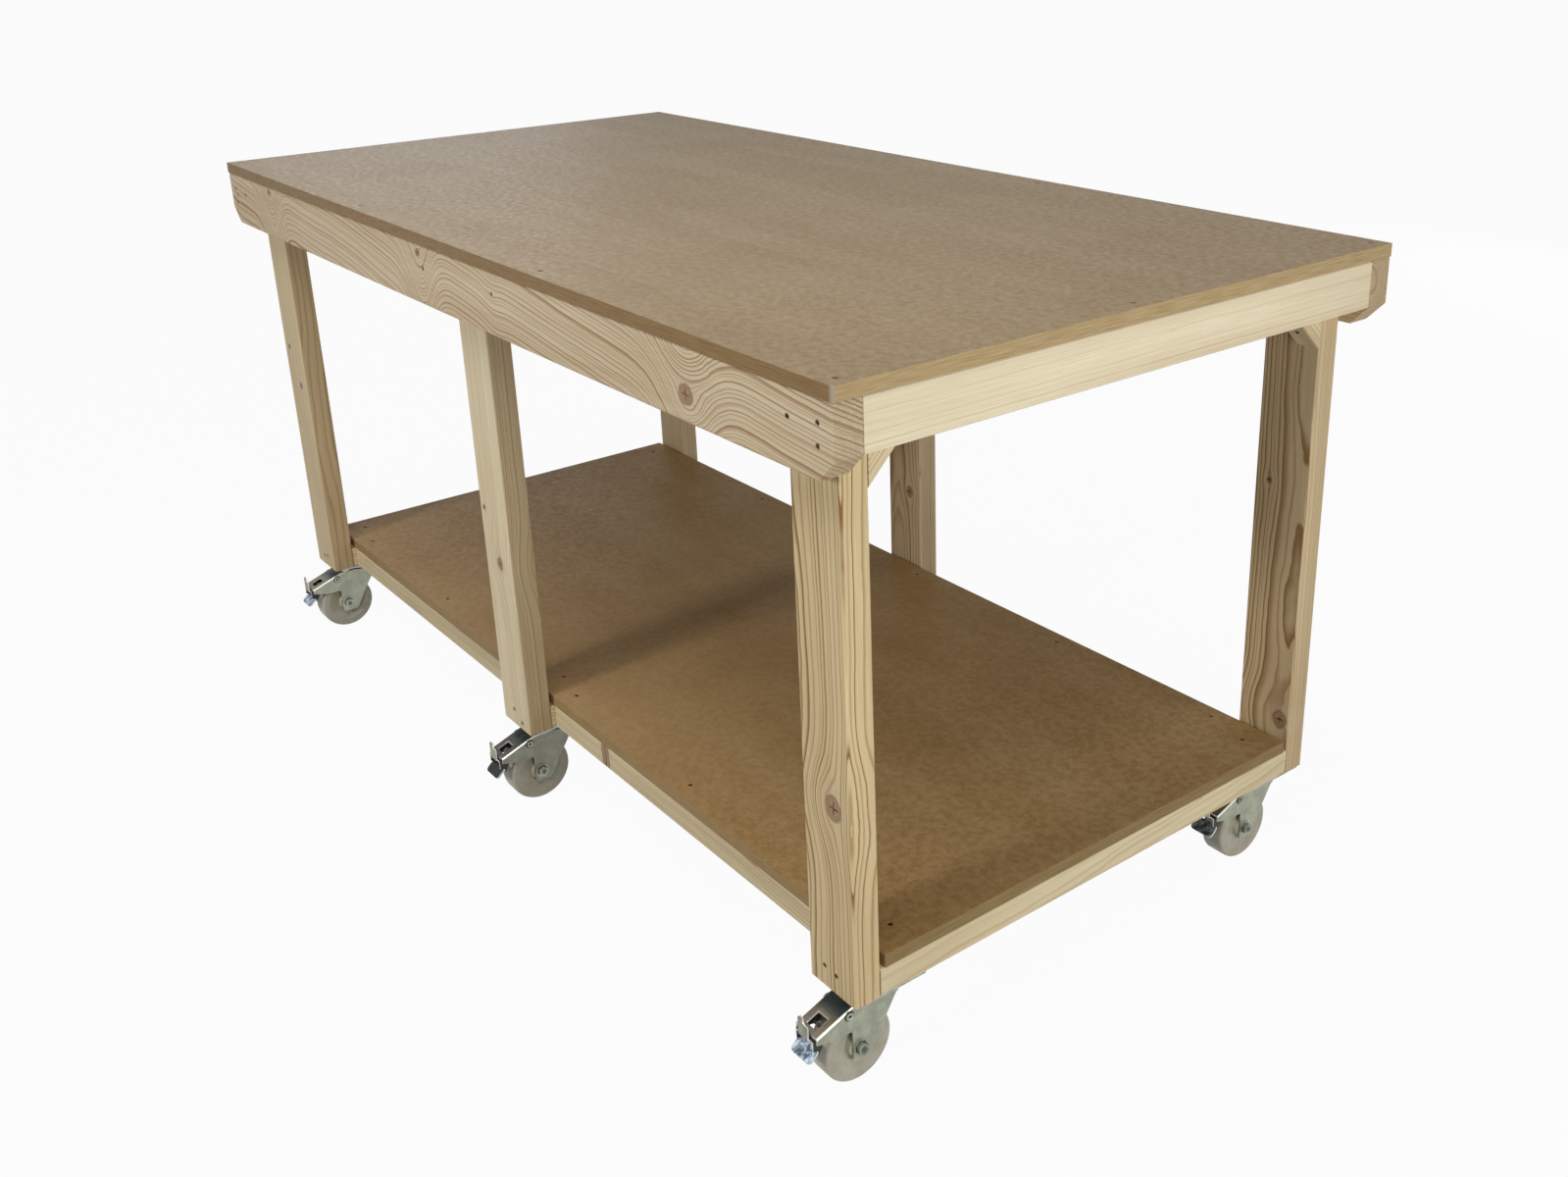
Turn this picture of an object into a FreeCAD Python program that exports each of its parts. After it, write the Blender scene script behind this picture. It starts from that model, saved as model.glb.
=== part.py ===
import FreeCAD, Part

import math
import os

# Mobile assembly table, in millimetres.
# X runs along the bench, Y from the front (-) to the back (+), Z up from the floor.
# The origin is on the floor at the centre of the whole table, brake pedals included.

# ---------------------------------------------------------------- driving dimensions

# Overall
worktop_length = 1830.0
worktop_width = 915.0
bench_height = 915.0
board_thickness = 18.0          # worktop and shelf board
worktop_overhang = 1.0          # past the rails, all round

# Planed timber
timber_thickness = 38.0         # every plank
long_rail_depth = 89.0
end_rail_depth = 63.0
leg_width = 89.0                # along the bench
rim_width = 63.0                # across the bench, laid flat
brace_depth = 63.0              # square to the brace's own length
eased_edge = 2.0                # taken off the long edges of a plank
rail_end_cut = 27.0             # 45 degree cut at the lower corners of the long rails

# Places in the frame
leg_end_gap = 5.0               # between an end rail and the corner legs
shelf_edge_setback = 7.0        # from the inner face of the legs to the shelf's edge
brace_drop = 120.5              # from under the worktop to the lower tip of a knee brace

# Castor: wheel
wheel_radius = 50.0
wheel_width = 36.0
hub_radius = 15.0
hub_foot_radius = 17.0          # where the dished side meets the hub
rim_radius = 36.0               # inner edge of the rim's flat side
dish_depth = 7.0
tread_shoulder = 6.0            # width of the sloping shoulder on each side of the tread
tread_shoulder_drop = 3.0

# Castor: plate and king pin
castor_head_height = 30.0       # from the top of the wheel to the top of the plate
castor_behind_leg = {"front": 25.0, "back": 15.0}   # from a leg's inner face to the king pin
plate_length = 105.0            # across the bench
plate_width = 85.0              # along the bench
plate_thickness = 3.0
plate_corner_cut = 7.0
raceway_radius = 31.0
raceway_lip_radius = 26.0
raceway_height = 12.0           # from the fork's head to the plate
king_pin_radius = 6.0
king_pin_head_radius = 10.0
king_pin_head_height = 4.5

# Castor: fork, measured from the axle unless a comment says otherwise
castor_trail = 40.0             # from the king pin to the axle
fork_sheet = 2.5
fork_width = 43.0               # over the two side plates
fork_head_radius = 28.0
fork_neck_radius = 20.0         # where the cone under the head meets the front wall
fork_neck_drop = 17.0           # from the top of the fork
fork_bow_ahead = 42.5           # front edge of a side plate at its widest part
fork_bow_rise = 20.0
fork_foot_ahead = 22.0
fork_foot_behind = 11.5
fork_foot_drop = 17.0
fork_lip_drop = 35.0            # lower edge of the front wall, from the top of the fork
fork_foot_cut = 7.0
fork_front_round = 8.0
fork_edge_round = 3.0
notch_round = 4.0               # between the hood's sides and the side plates' feet
hood_bend_behind = 8.0
hood_past_tread = 14.0          # from the wheel's tread to the end of the hood, level
hood_slope_deg = 19.6
hood_end_depth = 9.0
wing_bend_behind = 36.0
wing_below_tread = 21.0         # lower edge of the hood's sides, from the top of the wheel
window_width = 19.5
window_length = 19.0
window_end_margin = 7.0         # from the window to the end of the hood

# Castor: axle bolt, through the fork and the wheel, with its nut run on
axle_radius = 6.0
axle_hex_across = 15.0
axle_head_height = 5.5
axle_nut_height = 7.0

# Castor: brake
brake_travel_deg = 12.0         # from released to pressed
pivot_past_tread = 6.3          # from the tread to the rivet's centre
pivot_angle_deg = 73.5          # about the axle, up from level
rivet_radius = 2.5
rivet_head_radius = 5.5
rivet_head_height = 2.0
lever_sheet = 2.0
lever_side_gap = 1.5            # from the lever to the fork's side plates
lever_hood_gap = 0.8
lever_ear = 4.5                 # from the rivet's centre to the lever's front edge
lever_past_hood = 3.5
arm_pressed_gap = 2.0           # from the tread to the arms' corners, brake pressed
arm_angles_deg = (22.0, 38.0, 56.0, 76.0)
shoe_width = 24.0
shoe_pressed_gap = 0.9          # from the tread to the shoe's corners, brake pressed
shoe_angles_deg = (62.0, 76.0)
pedal_past_arms = 1.5           # from an arm's outer side to the pedal's, on each side
pedal_length = 21.0
pedal_thickness = 3.0
pedal_slope_deg = 42.0
pedal_corner_round = 6.0
pedal_below_hood = 9.5          # from the lower corner of the hood's end
pedal_inside_hood = 3.5
tab_width = 19.0
tab_rise = 21.0                 # above the end of the hood
tab_corner_cut = 3.5
tab_step_drop = 9.0             # the tab's right half is lower by this
tab_step_round = 4.0

# Heads of the coach screws that hold the castors
screw_hex_across = 13.0
screw_head_height = 5.3
screw_spacing_x = 60.0
screw_spacing_y = 80.0

# Clearances
running_clearance = 0.05        # radial: king pin in the fork, axle in the wheel
pivot_clearance = 0.1           # radial: brake lever on its rivet
fixed_clearance = 0.05          # radial: axle bolt in the fork
face_clearance = 0.3            # between faces that turn past each other
cut_past = 1.0                  # how far a cutting shape runs past what it cuts

# ---------------------------------------------------------------- levels and places

castor_height = 2.0 * wheel_radius + castor_head_height
timber_bottom = castor_height
worktop_bottom = bench_height - board_thickness
shelf_bottom = timber_bottom + timber_thickness
plate_bottom = castor_height - plate_thickness
fork_top = plate_bottom - raceway_height

# In the castor's own frame the king pin is at x = y = 0 and the wheel trails to -Y
axle_y = -castor_trail
axle_z = wheel_radius
fork_half = fork_width / 2.0
hood_fall = math.tan(math.radians(hood_slope_deg))
hood_bend_y = axle_y - hood_bend_behind
hood_end_y = axle_y - wheel_radius - hood_past_tread
hood_end_top = fork_top - (hood_bend_y - hood_end_y) * hood_fall
hood_inner_drop = fork_sheet / math.cos(math.radians(hood_slope_deg))
pivot_reach = wheel_radius + pivot_past_tread
pivot_y = axle_y - pivot_reach * math.cos(math.radians(pivot_angle_deg))
pivot_z = axle_z + pivot_reach * math.sin(math.radians(pivot_angle_deg))
pedal_start_y = hood_end_y + pedal_inside_hood
pedal_start_z = hood_end_top - hood_end_depth - pedal_below_hood
pedal_tip_y = pedal_start_y - pedal_length * math.cos(math.radians(pedal_slope_deg))

# In the table's frame, from the worktop's centre
rail_outer_x = worktop_length / 2.0 - worktop_overhang
rail_outer_half = worktop_width / 2.0 - worktop_overhang
end_rail_inner_x = rail_outer_x - timber_thickness
leg_outer_x = end_rail_inner_x - leg_end_gap
leg_outer_half = rail_outer_half - timber_thickness
leg_inner_half = leg_outer_half - timber_thickness
shelf_half = leg_inner_half - shelf_edge_setback
castor_half = {side: leg_inner_half - behind for side, behind in castor_behind_leg.items()}
station_x = {
    "left": leg_width / 2.0 - leg_outer_x,
    "middle": 0.0,
    "right": leg_outer_x - leg_width / 2.0,
}
station_side = {"front": -1.0, "back": 1.0}

# The front pedals stand out past the worktop, which moves its centre back from the origin
pedal_overhang = max(0.0, castor_half["front"] - pedal_tip_y - worktop_width / 2.0)
centre_y = pedal_overhang / 2.0


# ---------------------------------------------------------------- helpers

def box(x_range, y_range, z_range):
    """A block between the given limits."""
    corner = FreeCAD.Vector(x_range[0], y_range[0], z_range[0])
    return Part.makeBox(x_range[1] - x_range[0], y_range[1] - y_range[0],
                        z_range[1] - z_range[0], corner)


def upright(radius, low, high):
    """A cylinder along Z about the origin, between two heights."""
    return Part.makeCylinder(radius, high - low, FreeCAD.Vector(0, 0, low))


def crosswise(radius, left, right, y, z):
    """A cylinder along X between two places."""
    return Part.makeCylinder(radius, right - left, FreeCAD.Vector(left, y, z),
                             FreeCAD.Vector(1, 0, 0))


def across(corners, left, right):
    """An outline of (y, z, cut) corners, extruded along X; cut is what a corner loses each way."""
    points = []
    for index, (y, z, cut) in enumerate(corners):
        corner = FreeCAD.Vector(left, y, z)
        if cut == 0.0:
            points.append(corner)
            continue
        for near in (corners[index - 1], corners[(index + 1) % len(corners)]):
            away = FreeCAD.Vector(left, near[0], near[1]) - corner
            points.append(corner + away.normalize() * cut)
    face = Part.Face(Part.makePolygon(points + points[:1]))
    return face.extrude(FreeCAD.Vector(right - left, 0, 0))


def turned(profile, centre, axis):
    """A profile of (radius, height) points, turned about an axis through the centre."""
    wire = Part.makePolygon([FreeCAD.Vector(radius, 0, height) for radius, height in profile])
    solid = Part.Face(wire).revolve(FreeCAD.Vector(0, 0, 0), FreeCAD.Vector(0, 0, 1), 360)
    upward = FreeCAD.Vector(0, 0, 1)
    solid.Placement = FreeCAD.Placement(centre, FreeCAD.Rotation(upward, axis))
    return solid


def hexagon(across_flats, height):
    """A hexagonal prism on the XY plane."""
    radius = across_flats / math.sqrt(3.0)
    points = [FreeCAD.Vector(radius * math.cos(math.radians(60 * side)),
                             radius * math.sin(math.radians(60 * side)), 0)
              for side in range(7)]
    return Part.Face(Part.makePolygon(points)).extrude(FreeCAD.Vector(0, 0, height))


def ran_along(solid, axis):
    """The edges of a solid that run along one axis, by its number."""
    edges = []
    for edge in solid.Edges:
        direction = edge.Vertexes[-1].Point - edge.Vertexes[0].Point
        if direction.Length > 1e-6 and abs(direction[axis]) > direction.Length - 1e-6:
            edges.append(edge)
    return edges


def plank(x_range, y_range, z_range, along):
    """A plank with eased long edges; along is the axis number of its length."""
    solid = box(x_range, y_range, z_range)
    return solid.makeChamfer(eased_edge, ran_along(solid, along))


def placed(shape, x, y):
    """A copy of the shape moved level."""
    copy = shape.copy()
    copy.translate(FreeCAD.Vector(x, y, 0))
    return copy


# ---------------------------------------------------------------- boards and timber

def long_rail(sign):
    """Front or back rail: on edge, with its lower end corners cut at 45 degrees."""
    faces = sorted((centre_y + sign * rail_outer_half, centre_y + sign * leg_outer_half))
    low = worktop_bottom - long_rail_depth
    rail = plank((-rail_outer_x, rail_outer_x), faces, (low, worktop_bottom), 0)
    for end in (-1, 1):
        corner = FreeCAD.Vector(end * rail_outer_x, faces[0] - cut_past, low)
        points = [corner, corner - FreeCAD.Vector(end * rail_end_cut, 0, 0),
                  corner + FreeCAD.Vector(0, 0, rail_end_cut), corner]
        wedge = Part.Face(Part.makePolygon(points))
        rail = rail.cut(wedge.extrude(FreeCAD.Vector(0, timber_thickness + 2.0 * cut_past, 0)))
    return rail


def end_rail(sign):
    """Left or right end rail, between the long rails."""
    return plank(sorted((sign * rail_outer_x, sign * end_rail_inner_x)),
                 (centre_y - leg_outer_half, centre_y + leg_outer_half),
                 (worktop_bottom - end_rail_depth, worktop_bottom), 1)


def leg(station, sign):
    """One leg, with its wide face along the bench against a long rail."""
    x = station_x[station]
    faces = sorted((centre_y + sign * leg_outer_half, centre_y + sign * leg_inner_half))
    return plank((x - leg_width / 2.0, x + leg_width / 2.0), faces,
                 (timber_bottom, worktop_bottom), 2)


def knee_brace(end, sign):
    """A strut at 45 degrees between a corner leg and the underside of the worktop."""
    inward = 1.0 if end == "left" else -1.0
    outer = -inward * leg_outer_x
    sides = sorted((outer, outer + inward * timber_thickness))
    mitre = brace_depth * math.sqrt(2.0)
    leg_face = centre_y + sign * leg_inner_half
    corners = [(0.0, -brace_drop), (brace_drop, 0.0), (brace_drop - mitre, 0.0),
               (0.0, mitre - brace_drop)]
    strut = across([(leg_face - sign * y, worktop_bottom + z, 0.0) for y, z in corners], *sides)
    strut_length = brace_drop * math.sqrt(2.0) - brace_depth
    long_edges = [edge for edge in strut.Edges if edge.Length > strut_length - 1.0
                  and edge.BoundBox.XLength < 1e-6 and edge.BoundBox.YLength > 1.0
                  and edge.BoundBox.ZLength > 1.0]
    return strut.makeChamfer(eased_edge, long_edges)


def shelf_bearer(station):
    """A plank laid flat between a front leg and the back leg opposite."""
    x = station_x[station]
    return plank((x - leg_width / 2.0, x + leg_width / 2.0),
                 (centre_y - leg_inner_half, centre_y + leg_inner_half),
                 (timber_bottom, shelf_bottom), 1)


def shelf_rim(bay, sign):
    """A plank laid flat between two bearers, under the shelf's front or back edge."""
    stations = ("left", "middle") if bay == "left" else ("middle", "right")
    start = station_x[stations[0]] + leg_width / 2.0
    end = station_x[stations[1]] - leg_width / 2.0
    faces = sorted((centre_y + sign * shelf_half, centre_y + sign * (shelf_half - rim_width)))
    return plank((start, end), faces, (timber_bottom, shelf_bottom), 0)


def worktop():
    """The top board."""
    return box((-worktop_length / 2.0, worktop_length / 2.0),
               (centre_y - worktop_width / 2.0, centre_y + worktop_width / 2.0),
               (worktop_bottom, bench_height))


def shelf_board():
    """The shelf's board, flush with the outer faces of the corner legs at its ends."""
    return box((-leg_outer_x, leg_outer_x), (centre_y - shelf_half, centre_y + shelf_half),
               (shelf_bottom, shelf_bottom + board_thickness))


# ---------------------------------------------------------------- castor

def castor_places():
    """Name and level place of the king pin of each castor."""
    return {f"{side}_{station}": (x, centre_y + sign * castor_half[side])
            for side, sign in station_side.items()
            for station, x in station_x.items()}


def castor_screws():
    """Hexagon heads of every castor's coach screws; their shanks, in the timber, are left out."""
    head = hexagon(screw_hex_across, screw_head_height)
    head.translate(FreeCAD.Vector(0, 0, plate_bottom - screw_head_height))
    return Part.makeCompound([placed(head, x + dx * screw_spacing_x / 2.0,
                                     y + dy * screw_spacing_y / 2.0)
                              for x, y in castor_places().values()
                              for dx in (-1, 1) for dy in (-1, 1)])


def hood_top(y):
    """Height of the hood's outer face at a place behind its bend."""
    return fork_top - (hood_bend_y - y) * hood_fall


def castor_plate():
    """Top plate with its raceway and the king pin that hangs the fork."""
    plate = box((-plate_width / 2.0, plate_width / 2.0), (-plate_length / 2.0, plate_length / 2.0),
                (plate_bottom, castor_height))
    plate = plate.makeChamfer(plate_corner_cut, ran_along(plate, 2))
    race_bottom = fork_top + face_clearance
    head_top = fork_top - fork_sheet - face_clearance
    profile = [(0.0, plate_bottom), (raceway_radius, plate_bottom),
               (raceway_lip_radius, race_bottom), (king_pin_radius, race_bottom),
               (king_pin_radius, head_top), (king_pin_head_radius, head_top - king_pin_head_height),
               (0.0, head_top - king_pin_head_height), (0.0, plate_bottom)]
    raceway = turned(profile, FreeCAD.Vector(0, 0, 0), FreeCAD.Vector(0, 0, 1))
    return plate.fuse(raceway).removeSplitter()


def along_front(solid):
    """The edges down the front of the fork or of its cavity, from the bow to the neck."""
    bow_y = axle_y + fork_bow_ahead
    bow_z = axle_z + fork_bow_rise
    edges = []
    for edge in solid.Edges:
        limits = edge.BoundBox
        if (limits.XLength < 1e-6 and limits.YLength > 1.0 and limits.ZLength > 1.0
                and limits.YMin > bow_y - 1e-3 and limits.ZMin > bow_z - 1e-3):
            edges.append(edge)
    return edges


def fork_blank():
    """The fork's outer form before it is hollowed: side plates, front wall and hood."""
    wing_z = axle_z + wheel_radius - wing_below_tread
    bow_y = axle_y + fork_bow_ahead
    bow_z = axle_z + fork_bow_rise
    neck_z = fork_top - fork_neck_drop
    foot_z = axle_z - fork_foot_drop
    blank = across([
        (fork_neck_radius, fork_top, 0.0),
        (hood_bend_y, fork_top, 0.0),
        (hood_end_y, hood_end_top, 0.0),
        (hood_end_y, hood_end_top - hood_end_depth, 0.0),
        (axle_y - wing_bend_behind, wing_z, 0.0),
        (axle_y - fork_foot_behind, wing_z, 0.0),
        (axle_y - fork_foot_behind, foot_z, fork_foot_cut / 2.0),
        (axle_y + fork_foot_ahead, foot_z, fork_foot_cut),
        (bow_y, bow_z, 0.0),
        (fork_neck_radius, neck_z, 0.0),
    ], -fork_half, fork_half)

    def in_notch(edge):
        limits = edge.BoundBox
        return (limits.YLength < 1e-6 and abs(limits.YMin - axle_y + fork_foot_behind) < 1e-3
                and abs(limits.ZMin - wing_z) < 1e-3 and limits.ZLength < 1e-6)

    def along_hood(edge):
        limits = edge.BoundBox
        return limits.XLength < 1e-6 and limits.YLength > 1.0 and limits.ZMin > hood_end_top - 1e-3

    blank = blank.makeFillet(notch_round, [edge for edge in blank.Edges if in_notch(edge)])
    blank = blank.makeFillet(fork_edge_round, [edge for edge in blank.Edges if along_hood(edge)])
    return blank.makeFillet(fork_front_round, along_front(blank))


def fork_cavity():
    """The space inside the fork, open below and at the end of the hood."""
    inner_half = fork_half - fork_sheet
    far_y = hood_end_y - cut_past
    ceiling = fork_top - fork_sheet
    bow_y = axle_y + fork_bow_ahead
    bow_z = axle_z + fork_bow_rise
    neck_z = fork_top - fork_neck_drop
    lean = (fork_neck_radius - bow_y) / (neck_z - bow_z)
    wall = fork_sheet * math.sqrt(1.0 + lean * lean)
    lip_z = fork_top - fork_lip_drop
    lip_y = bow_y + (lip_z - bow_z) * lean - wall
    inner_neck_y = fork_neck_radius - fork_sheet
    inner_neck_z = neck_z - (wall - fork_sheet) / lean
    inner_bend_y = hood_bend_y + fork_sheet * math.tan(math.radians(hood_slope_deg) / 2.0)
    cavity = across([
        (inner_neck_y, ceiling, 0.0),
        (inner_bend_y, ceiling, 0.0),
        (far_y, hood_top(far_y) - hood_inner_drop, 0.0),
        (far_y, -cut_past, 0.0),
        (fork_neck_radius, -cut_past, 0.0),
        (fork_neck_radius, lip_z, 0.0),
        (lip_y, lip_z, 0.0),
        (inner_neck_y, inner_neck_z, 0.0),
    ], -inner_half, inner_half)
    return cavity.makeFillet(fork_front_round - fork_sheet, along_front(cavity))


def castor_fork():
    """Pressed fork: conical head, side plates, front wall, windowed hood and the brake's rivet."""
    head = Part.makeCone(fork_neck_radius, fork_head_radius, fork_neck_drop,
                         FreeCAD.Vector(0, 0, fork_top - fork_neck_drop))
    rivet = crosswise(rivet_radius, -fork_half, fork_half, pivot_y, pivot_z)
    rivet_heads = [crosswise(rivet_head_radius, -fork_half - rivet_head_height, -fork_half,
                             pivot_y, pivot_z),
                   crosswise(rivet_head_radius, fork_half, fork_half + rivet_head_height,
                             pivot_y, pivot_z)]
    window_far = hood_end_y + window_end_margin
    holes = [
        fork_cavity(),
        box((-window_width / 2.0, window_width / 2.0), (window_far, window_far + window_length),
            (hood_end_top - hood_end_depth, fork_top)),
        upright(king_pin_radius + running_clearance, fork_top - fork_sheet - cut_past,
                plate_bottom),
        crosswise(axle_radius + fixed_clearance, -fork_width, fork_width, axle_y, axle_z),
    ]
    shell = fork_blank().fuse(head)
    for hole in holes:
        shell = shell.cut(hole)
    return shell.fuse([rivet] + rivet_heads).removeSplitter()


def castor_wheel():
    """Nylon wheel with sloping shoulders, dished sides and a long hub."""
    bore = axle_radius + running_clearance
    hub_half = fork_half - fork_sheet - face_clearance
    rim_half = wheel_width / 2.0
    side = [(bore, hub_half), (hub_radius, hub_half), (hub_foot_radius, rim_half - dish_depth),
            (rim_radius, rim_half), (wheel_radius - tread_shoulder_drop, rim_half),
            (wheel_radius, rim_half - tread_shoulder)]
    profile = side + [(radius, -x) for radius, x in reversed(side)] + side[:1]
    return turned(profile, FreeCAD.Vector(0, axle_y, axle_z), FreeCAD.Vector(1, 0, 0))


def castor_axle():
    """Axle bolt with its hexagon head and nut outside the fork."""
    bolt = crosswise(axle_radius, -fork_half, fork_half, axle_y, axle_z)
    for height, start in ((axle_head_height, -fork_half - axle_head_height),
                          (axle_nut_height, fork_half)):
        end = hexagon(axle_hex_across, height)
        end.rotate(FreeCAD.Vector(0, 0, 0), FreeCAD.Vector(0, 1, 0), 90)
        end.translate(FreeCAD.Vector(start, axle_y, axle_z))
        bolt = bolt.fuse(end)
    return bolt.removeSplitter()


def about_pressed_wheel(radius, angle_deg):
    """A place (y, z) around the wheel as the lever meets it with the brake pressed."""
    turn = math.radians(brake_travel_deg)
    y = axle_y - pivot_y
    z = axle_z - pivot_z
    centre = (pivot_y + y * math.cos(turn) + z * math.sin(turn),
              pivot_z - y * math.sin(turn) + z * math.cos(turn))
    angle = math.radians(angle_deg)
    return centre[0] - radius * math.cos(angle), centre[1] + radius * math.sin(angle)


def castor_brake():
    """Brake lever: channel under the hood, shoe, release tab and foot pedal."""
    half = fork_half - fork_sheet - lever_side_gap
    web_drop = hood_inner_drop + lever_hood_gap
    sheet_drop = lever_sheet / math.cos(math.radians(hood_slope_deg))
    end_y = hood_end_y - lever_past_hood
    window_far = hood_end_y + window_end_margin
    window = box((-window_width / 2.0, window_width / 2.0),
                 (window_far, window_far + window_length), (0.0, fork_top))

    def web_top(y):
        return hood_top(y) - web_drop

    web = across([(pivot_y, web_top(pivot_y), 0.0), (end_y, web_top(end_y), 0.0),
                  (end_y, web_top(end_y) - sheet_drop, 0.0),
                  (pivot_y, web_top(pivot_y) - sheet_drop, 0.0)], -half, half)
    under_arms = [about_pressed_wheel(wheel_radius + arm_pressed_gap, angle)
                  for angle in arm_angles_deg]
    arm_corners = [(pivot_y, web_top(pivot_y)), (end_y, web_top(end_y)), (end_y, pedal_start_z),
                   (pedal_start_y, pedal_start_z - pedal_thickness)]
    arm_corners += under_arms
    arm_corners += [(pivot_y + lever_ear / 2.0, pivot_z - lever_ear),
                    (pivot_y + lever_ear, pivot_z - lever_ear / 2.0),
                    (pivot_y + lever_ear, pivot_z + lever_ear / 2.0)]
    arms = across([(y, z, 0.0) for y, z in arm_corners], -half, half)
    inner = half - lever_sheet
    arms = arms.cut(box((-inner, inner), (end_y - cut_past, pivot_y + fork_width),
                        (0.0, fork_top)))

    shoe_low = [about_pressed_wheel(wheel_radius + shoe_pressed_gap, angle)
                for angle in shoe_angles_deg]
    shoe = across([(y, z, 0.0) for y, z in shoe_low]
                  + [(y, web_top(y) - sheet_drop / 2.0, 0.0) for y, _ in reversed(shoe_low)],
                  -shoe_width / 2.0, shoe_width / 2.0)

    tab = box((-tab_width / 2.0, tab_width / 2.0), (end_y - lever_sheet, end_y),
              (web_top(end_y) - sheet_drop, hood_end_top + tab_rise))
    tab = tab.makeChamfer(tab_corner_cut, [edge for edge in ran_along(tab, 1)
                                           if edge.BoundBox.ZMin > hood_end_top])
    step = box((0.0, half), (end_y - lever_sheet - cut_past, end_y + cut_past),
               (hood_end_top + tab_rise - tab_step_drop, fork_top + tab_rise))
    step = step.makeFillet(tab_step_round, [edge for edge in ran_along(step, 1)
                                            if edge.BoundBox.ZMax < fork_top + tab_rise - cut_past
                                            and edge.BoundBox.XMax < cut_past])
    tab = tab.cut(step)

    pedal_width = 2.0 * (half + pedal_past_arms)
    pedal = box((-pedal_width / 2.0, pedal_width / 2.0), (-pedal_length, 0.0),
                (-pedal_thickness, 0.0))
    pedal = pedal.makeFillet(pedal_corner_round, ran_along(pedal, 2))
    pedal.rotate(FreeCAD.Vector(0, 0, 0), FreeCAD.Vector(1, 0, 0), pedal_slope_deg)
    pedal.translate(FreeCAD.Vector(0, pedal_start_y, pedal_start_z))

    lever = web.cut(window).fuse([arms, shoe, tab, pedal])
    rivet_hole = crosswise(rivet_radius + pivot_clearance, -half - cut_past, half + cut_past,
                           pivot_y, pivot_z)
    return lever.cut(rivet_hole).removeSplitter()


# ---------------------------------------------------------------- assembly

def build_nodes():
    """Every sub-part of the table, by node name."""
    nodes = {
        "worktop": worktop(),
        "left_end_rail": end_rail(-1),
        "right_end_rail": end_rail(1),
        "shelf_board": shelf_board(),
        "castor_screws": castor_screws(),
    }
    for side, sign in station_side.items():
        nodes[f"{side}_rail"] = long_rail(sign)
        for end in ("left", "right"):
            nodes[f"{side}_{end}_brace"] = knee_brace(end, sign)
            nodes[f"shelf_rim_{side}_{end}"] = shelf_rim(end, sign)
        for station in station_x:
            nodes[f"{side}_{station}_leg"] = leg(station, sign)
    for station in station_x:
        nodes[f"{station}_shelf_bearer"] = shelf_bearer(station)
    castor = {
        "castor_plate": castor_plate(),
        "castor_fork": castor_fork(),
        "castor_wheel": castor_wheel(),
        "castor_axle": castor_axle(),
        "castor_brake": castor_brake(),
    }
    for place, (x, y) in castor_places().items():
        for piece, shape in castor.items():
            nodes[f"{place}_{piece}"] = placed(shape, x, y)
    return nodes


os.makedirs("parts", exist_ok=True)
for node, shape in build_nodes().items():
    shape.exportStep(f"parts/{node}.step")
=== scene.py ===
import logging
import math
from contextlib import contextmanager
from dataclasses import dataclass, field
from enum import Enum
from itertools import product
from typing import Callable, Iterator, Sequence

import bmesh
import bpy
from mathutils import Matrix, Vector


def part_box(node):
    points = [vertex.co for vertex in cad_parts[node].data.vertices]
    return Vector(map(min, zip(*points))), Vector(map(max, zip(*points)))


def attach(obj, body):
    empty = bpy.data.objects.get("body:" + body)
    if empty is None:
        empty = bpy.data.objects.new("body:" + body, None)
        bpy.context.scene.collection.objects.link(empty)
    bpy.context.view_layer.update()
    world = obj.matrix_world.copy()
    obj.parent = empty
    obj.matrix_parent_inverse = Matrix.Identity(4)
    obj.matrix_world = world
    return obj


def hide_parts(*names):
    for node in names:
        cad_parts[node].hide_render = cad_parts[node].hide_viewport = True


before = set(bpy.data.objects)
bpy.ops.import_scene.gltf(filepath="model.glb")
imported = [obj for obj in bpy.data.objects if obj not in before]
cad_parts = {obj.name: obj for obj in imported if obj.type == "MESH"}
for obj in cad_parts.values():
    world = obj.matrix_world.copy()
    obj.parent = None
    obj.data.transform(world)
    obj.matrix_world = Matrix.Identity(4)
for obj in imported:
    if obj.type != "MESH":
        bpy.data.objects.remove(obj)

log = logging.getLogger("assembly_table")

MM = 0.001
FLAT_ON = 0.9  # a normal's least share along the way that its face is said to look
Pair = tuple[float, float]
Triple = tuple[float, float, float]
Colour = Triple
Material = bpy.types.Material
Socket = bpy.types.NodeSocket
Piece = bpy.types.Object


class Slot(Enum):
    """Material slots."""

    MDF = "mdf"
    PINE = "pine"
    ZINC = "zinc"
    NYLON = "nylon"


class Grain(Enum):
    """Which way a plank lies: unit vectors along its grain and across its wide face."""

    LENGTH_UPRIGHT = ((1, 0, 0), (0, 0, 1))
    WIDTH_UPRIGHT = ((0, 1, 0), (0, 0, 1))
    HEIGHT = ((0, 0, 1), (1, 0, 0))
    LENGTH_FLAT = ((1, 0, 0), (0, 1, 0))
    WIDTH_FLAT = ((0, 1, 0), (1, 0, 0))
    RISING_BACK = ((0, 0.70711, 0.70711), (0, -0.70711, 0.70711))
    RISING_FRONT = ((0, -0.70711, 0.70711), (0, 0.70711, 0.70711))

    def axes(self) -> Matrix:
        """Rows are the plank's own axes: along, across, through."""
        along, across = (Vector(axis) for axis in self.value)
        return Matrix((along, across, along.cross(across)))


# ---------------------------------------------------------------- modelling by hand

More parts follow.
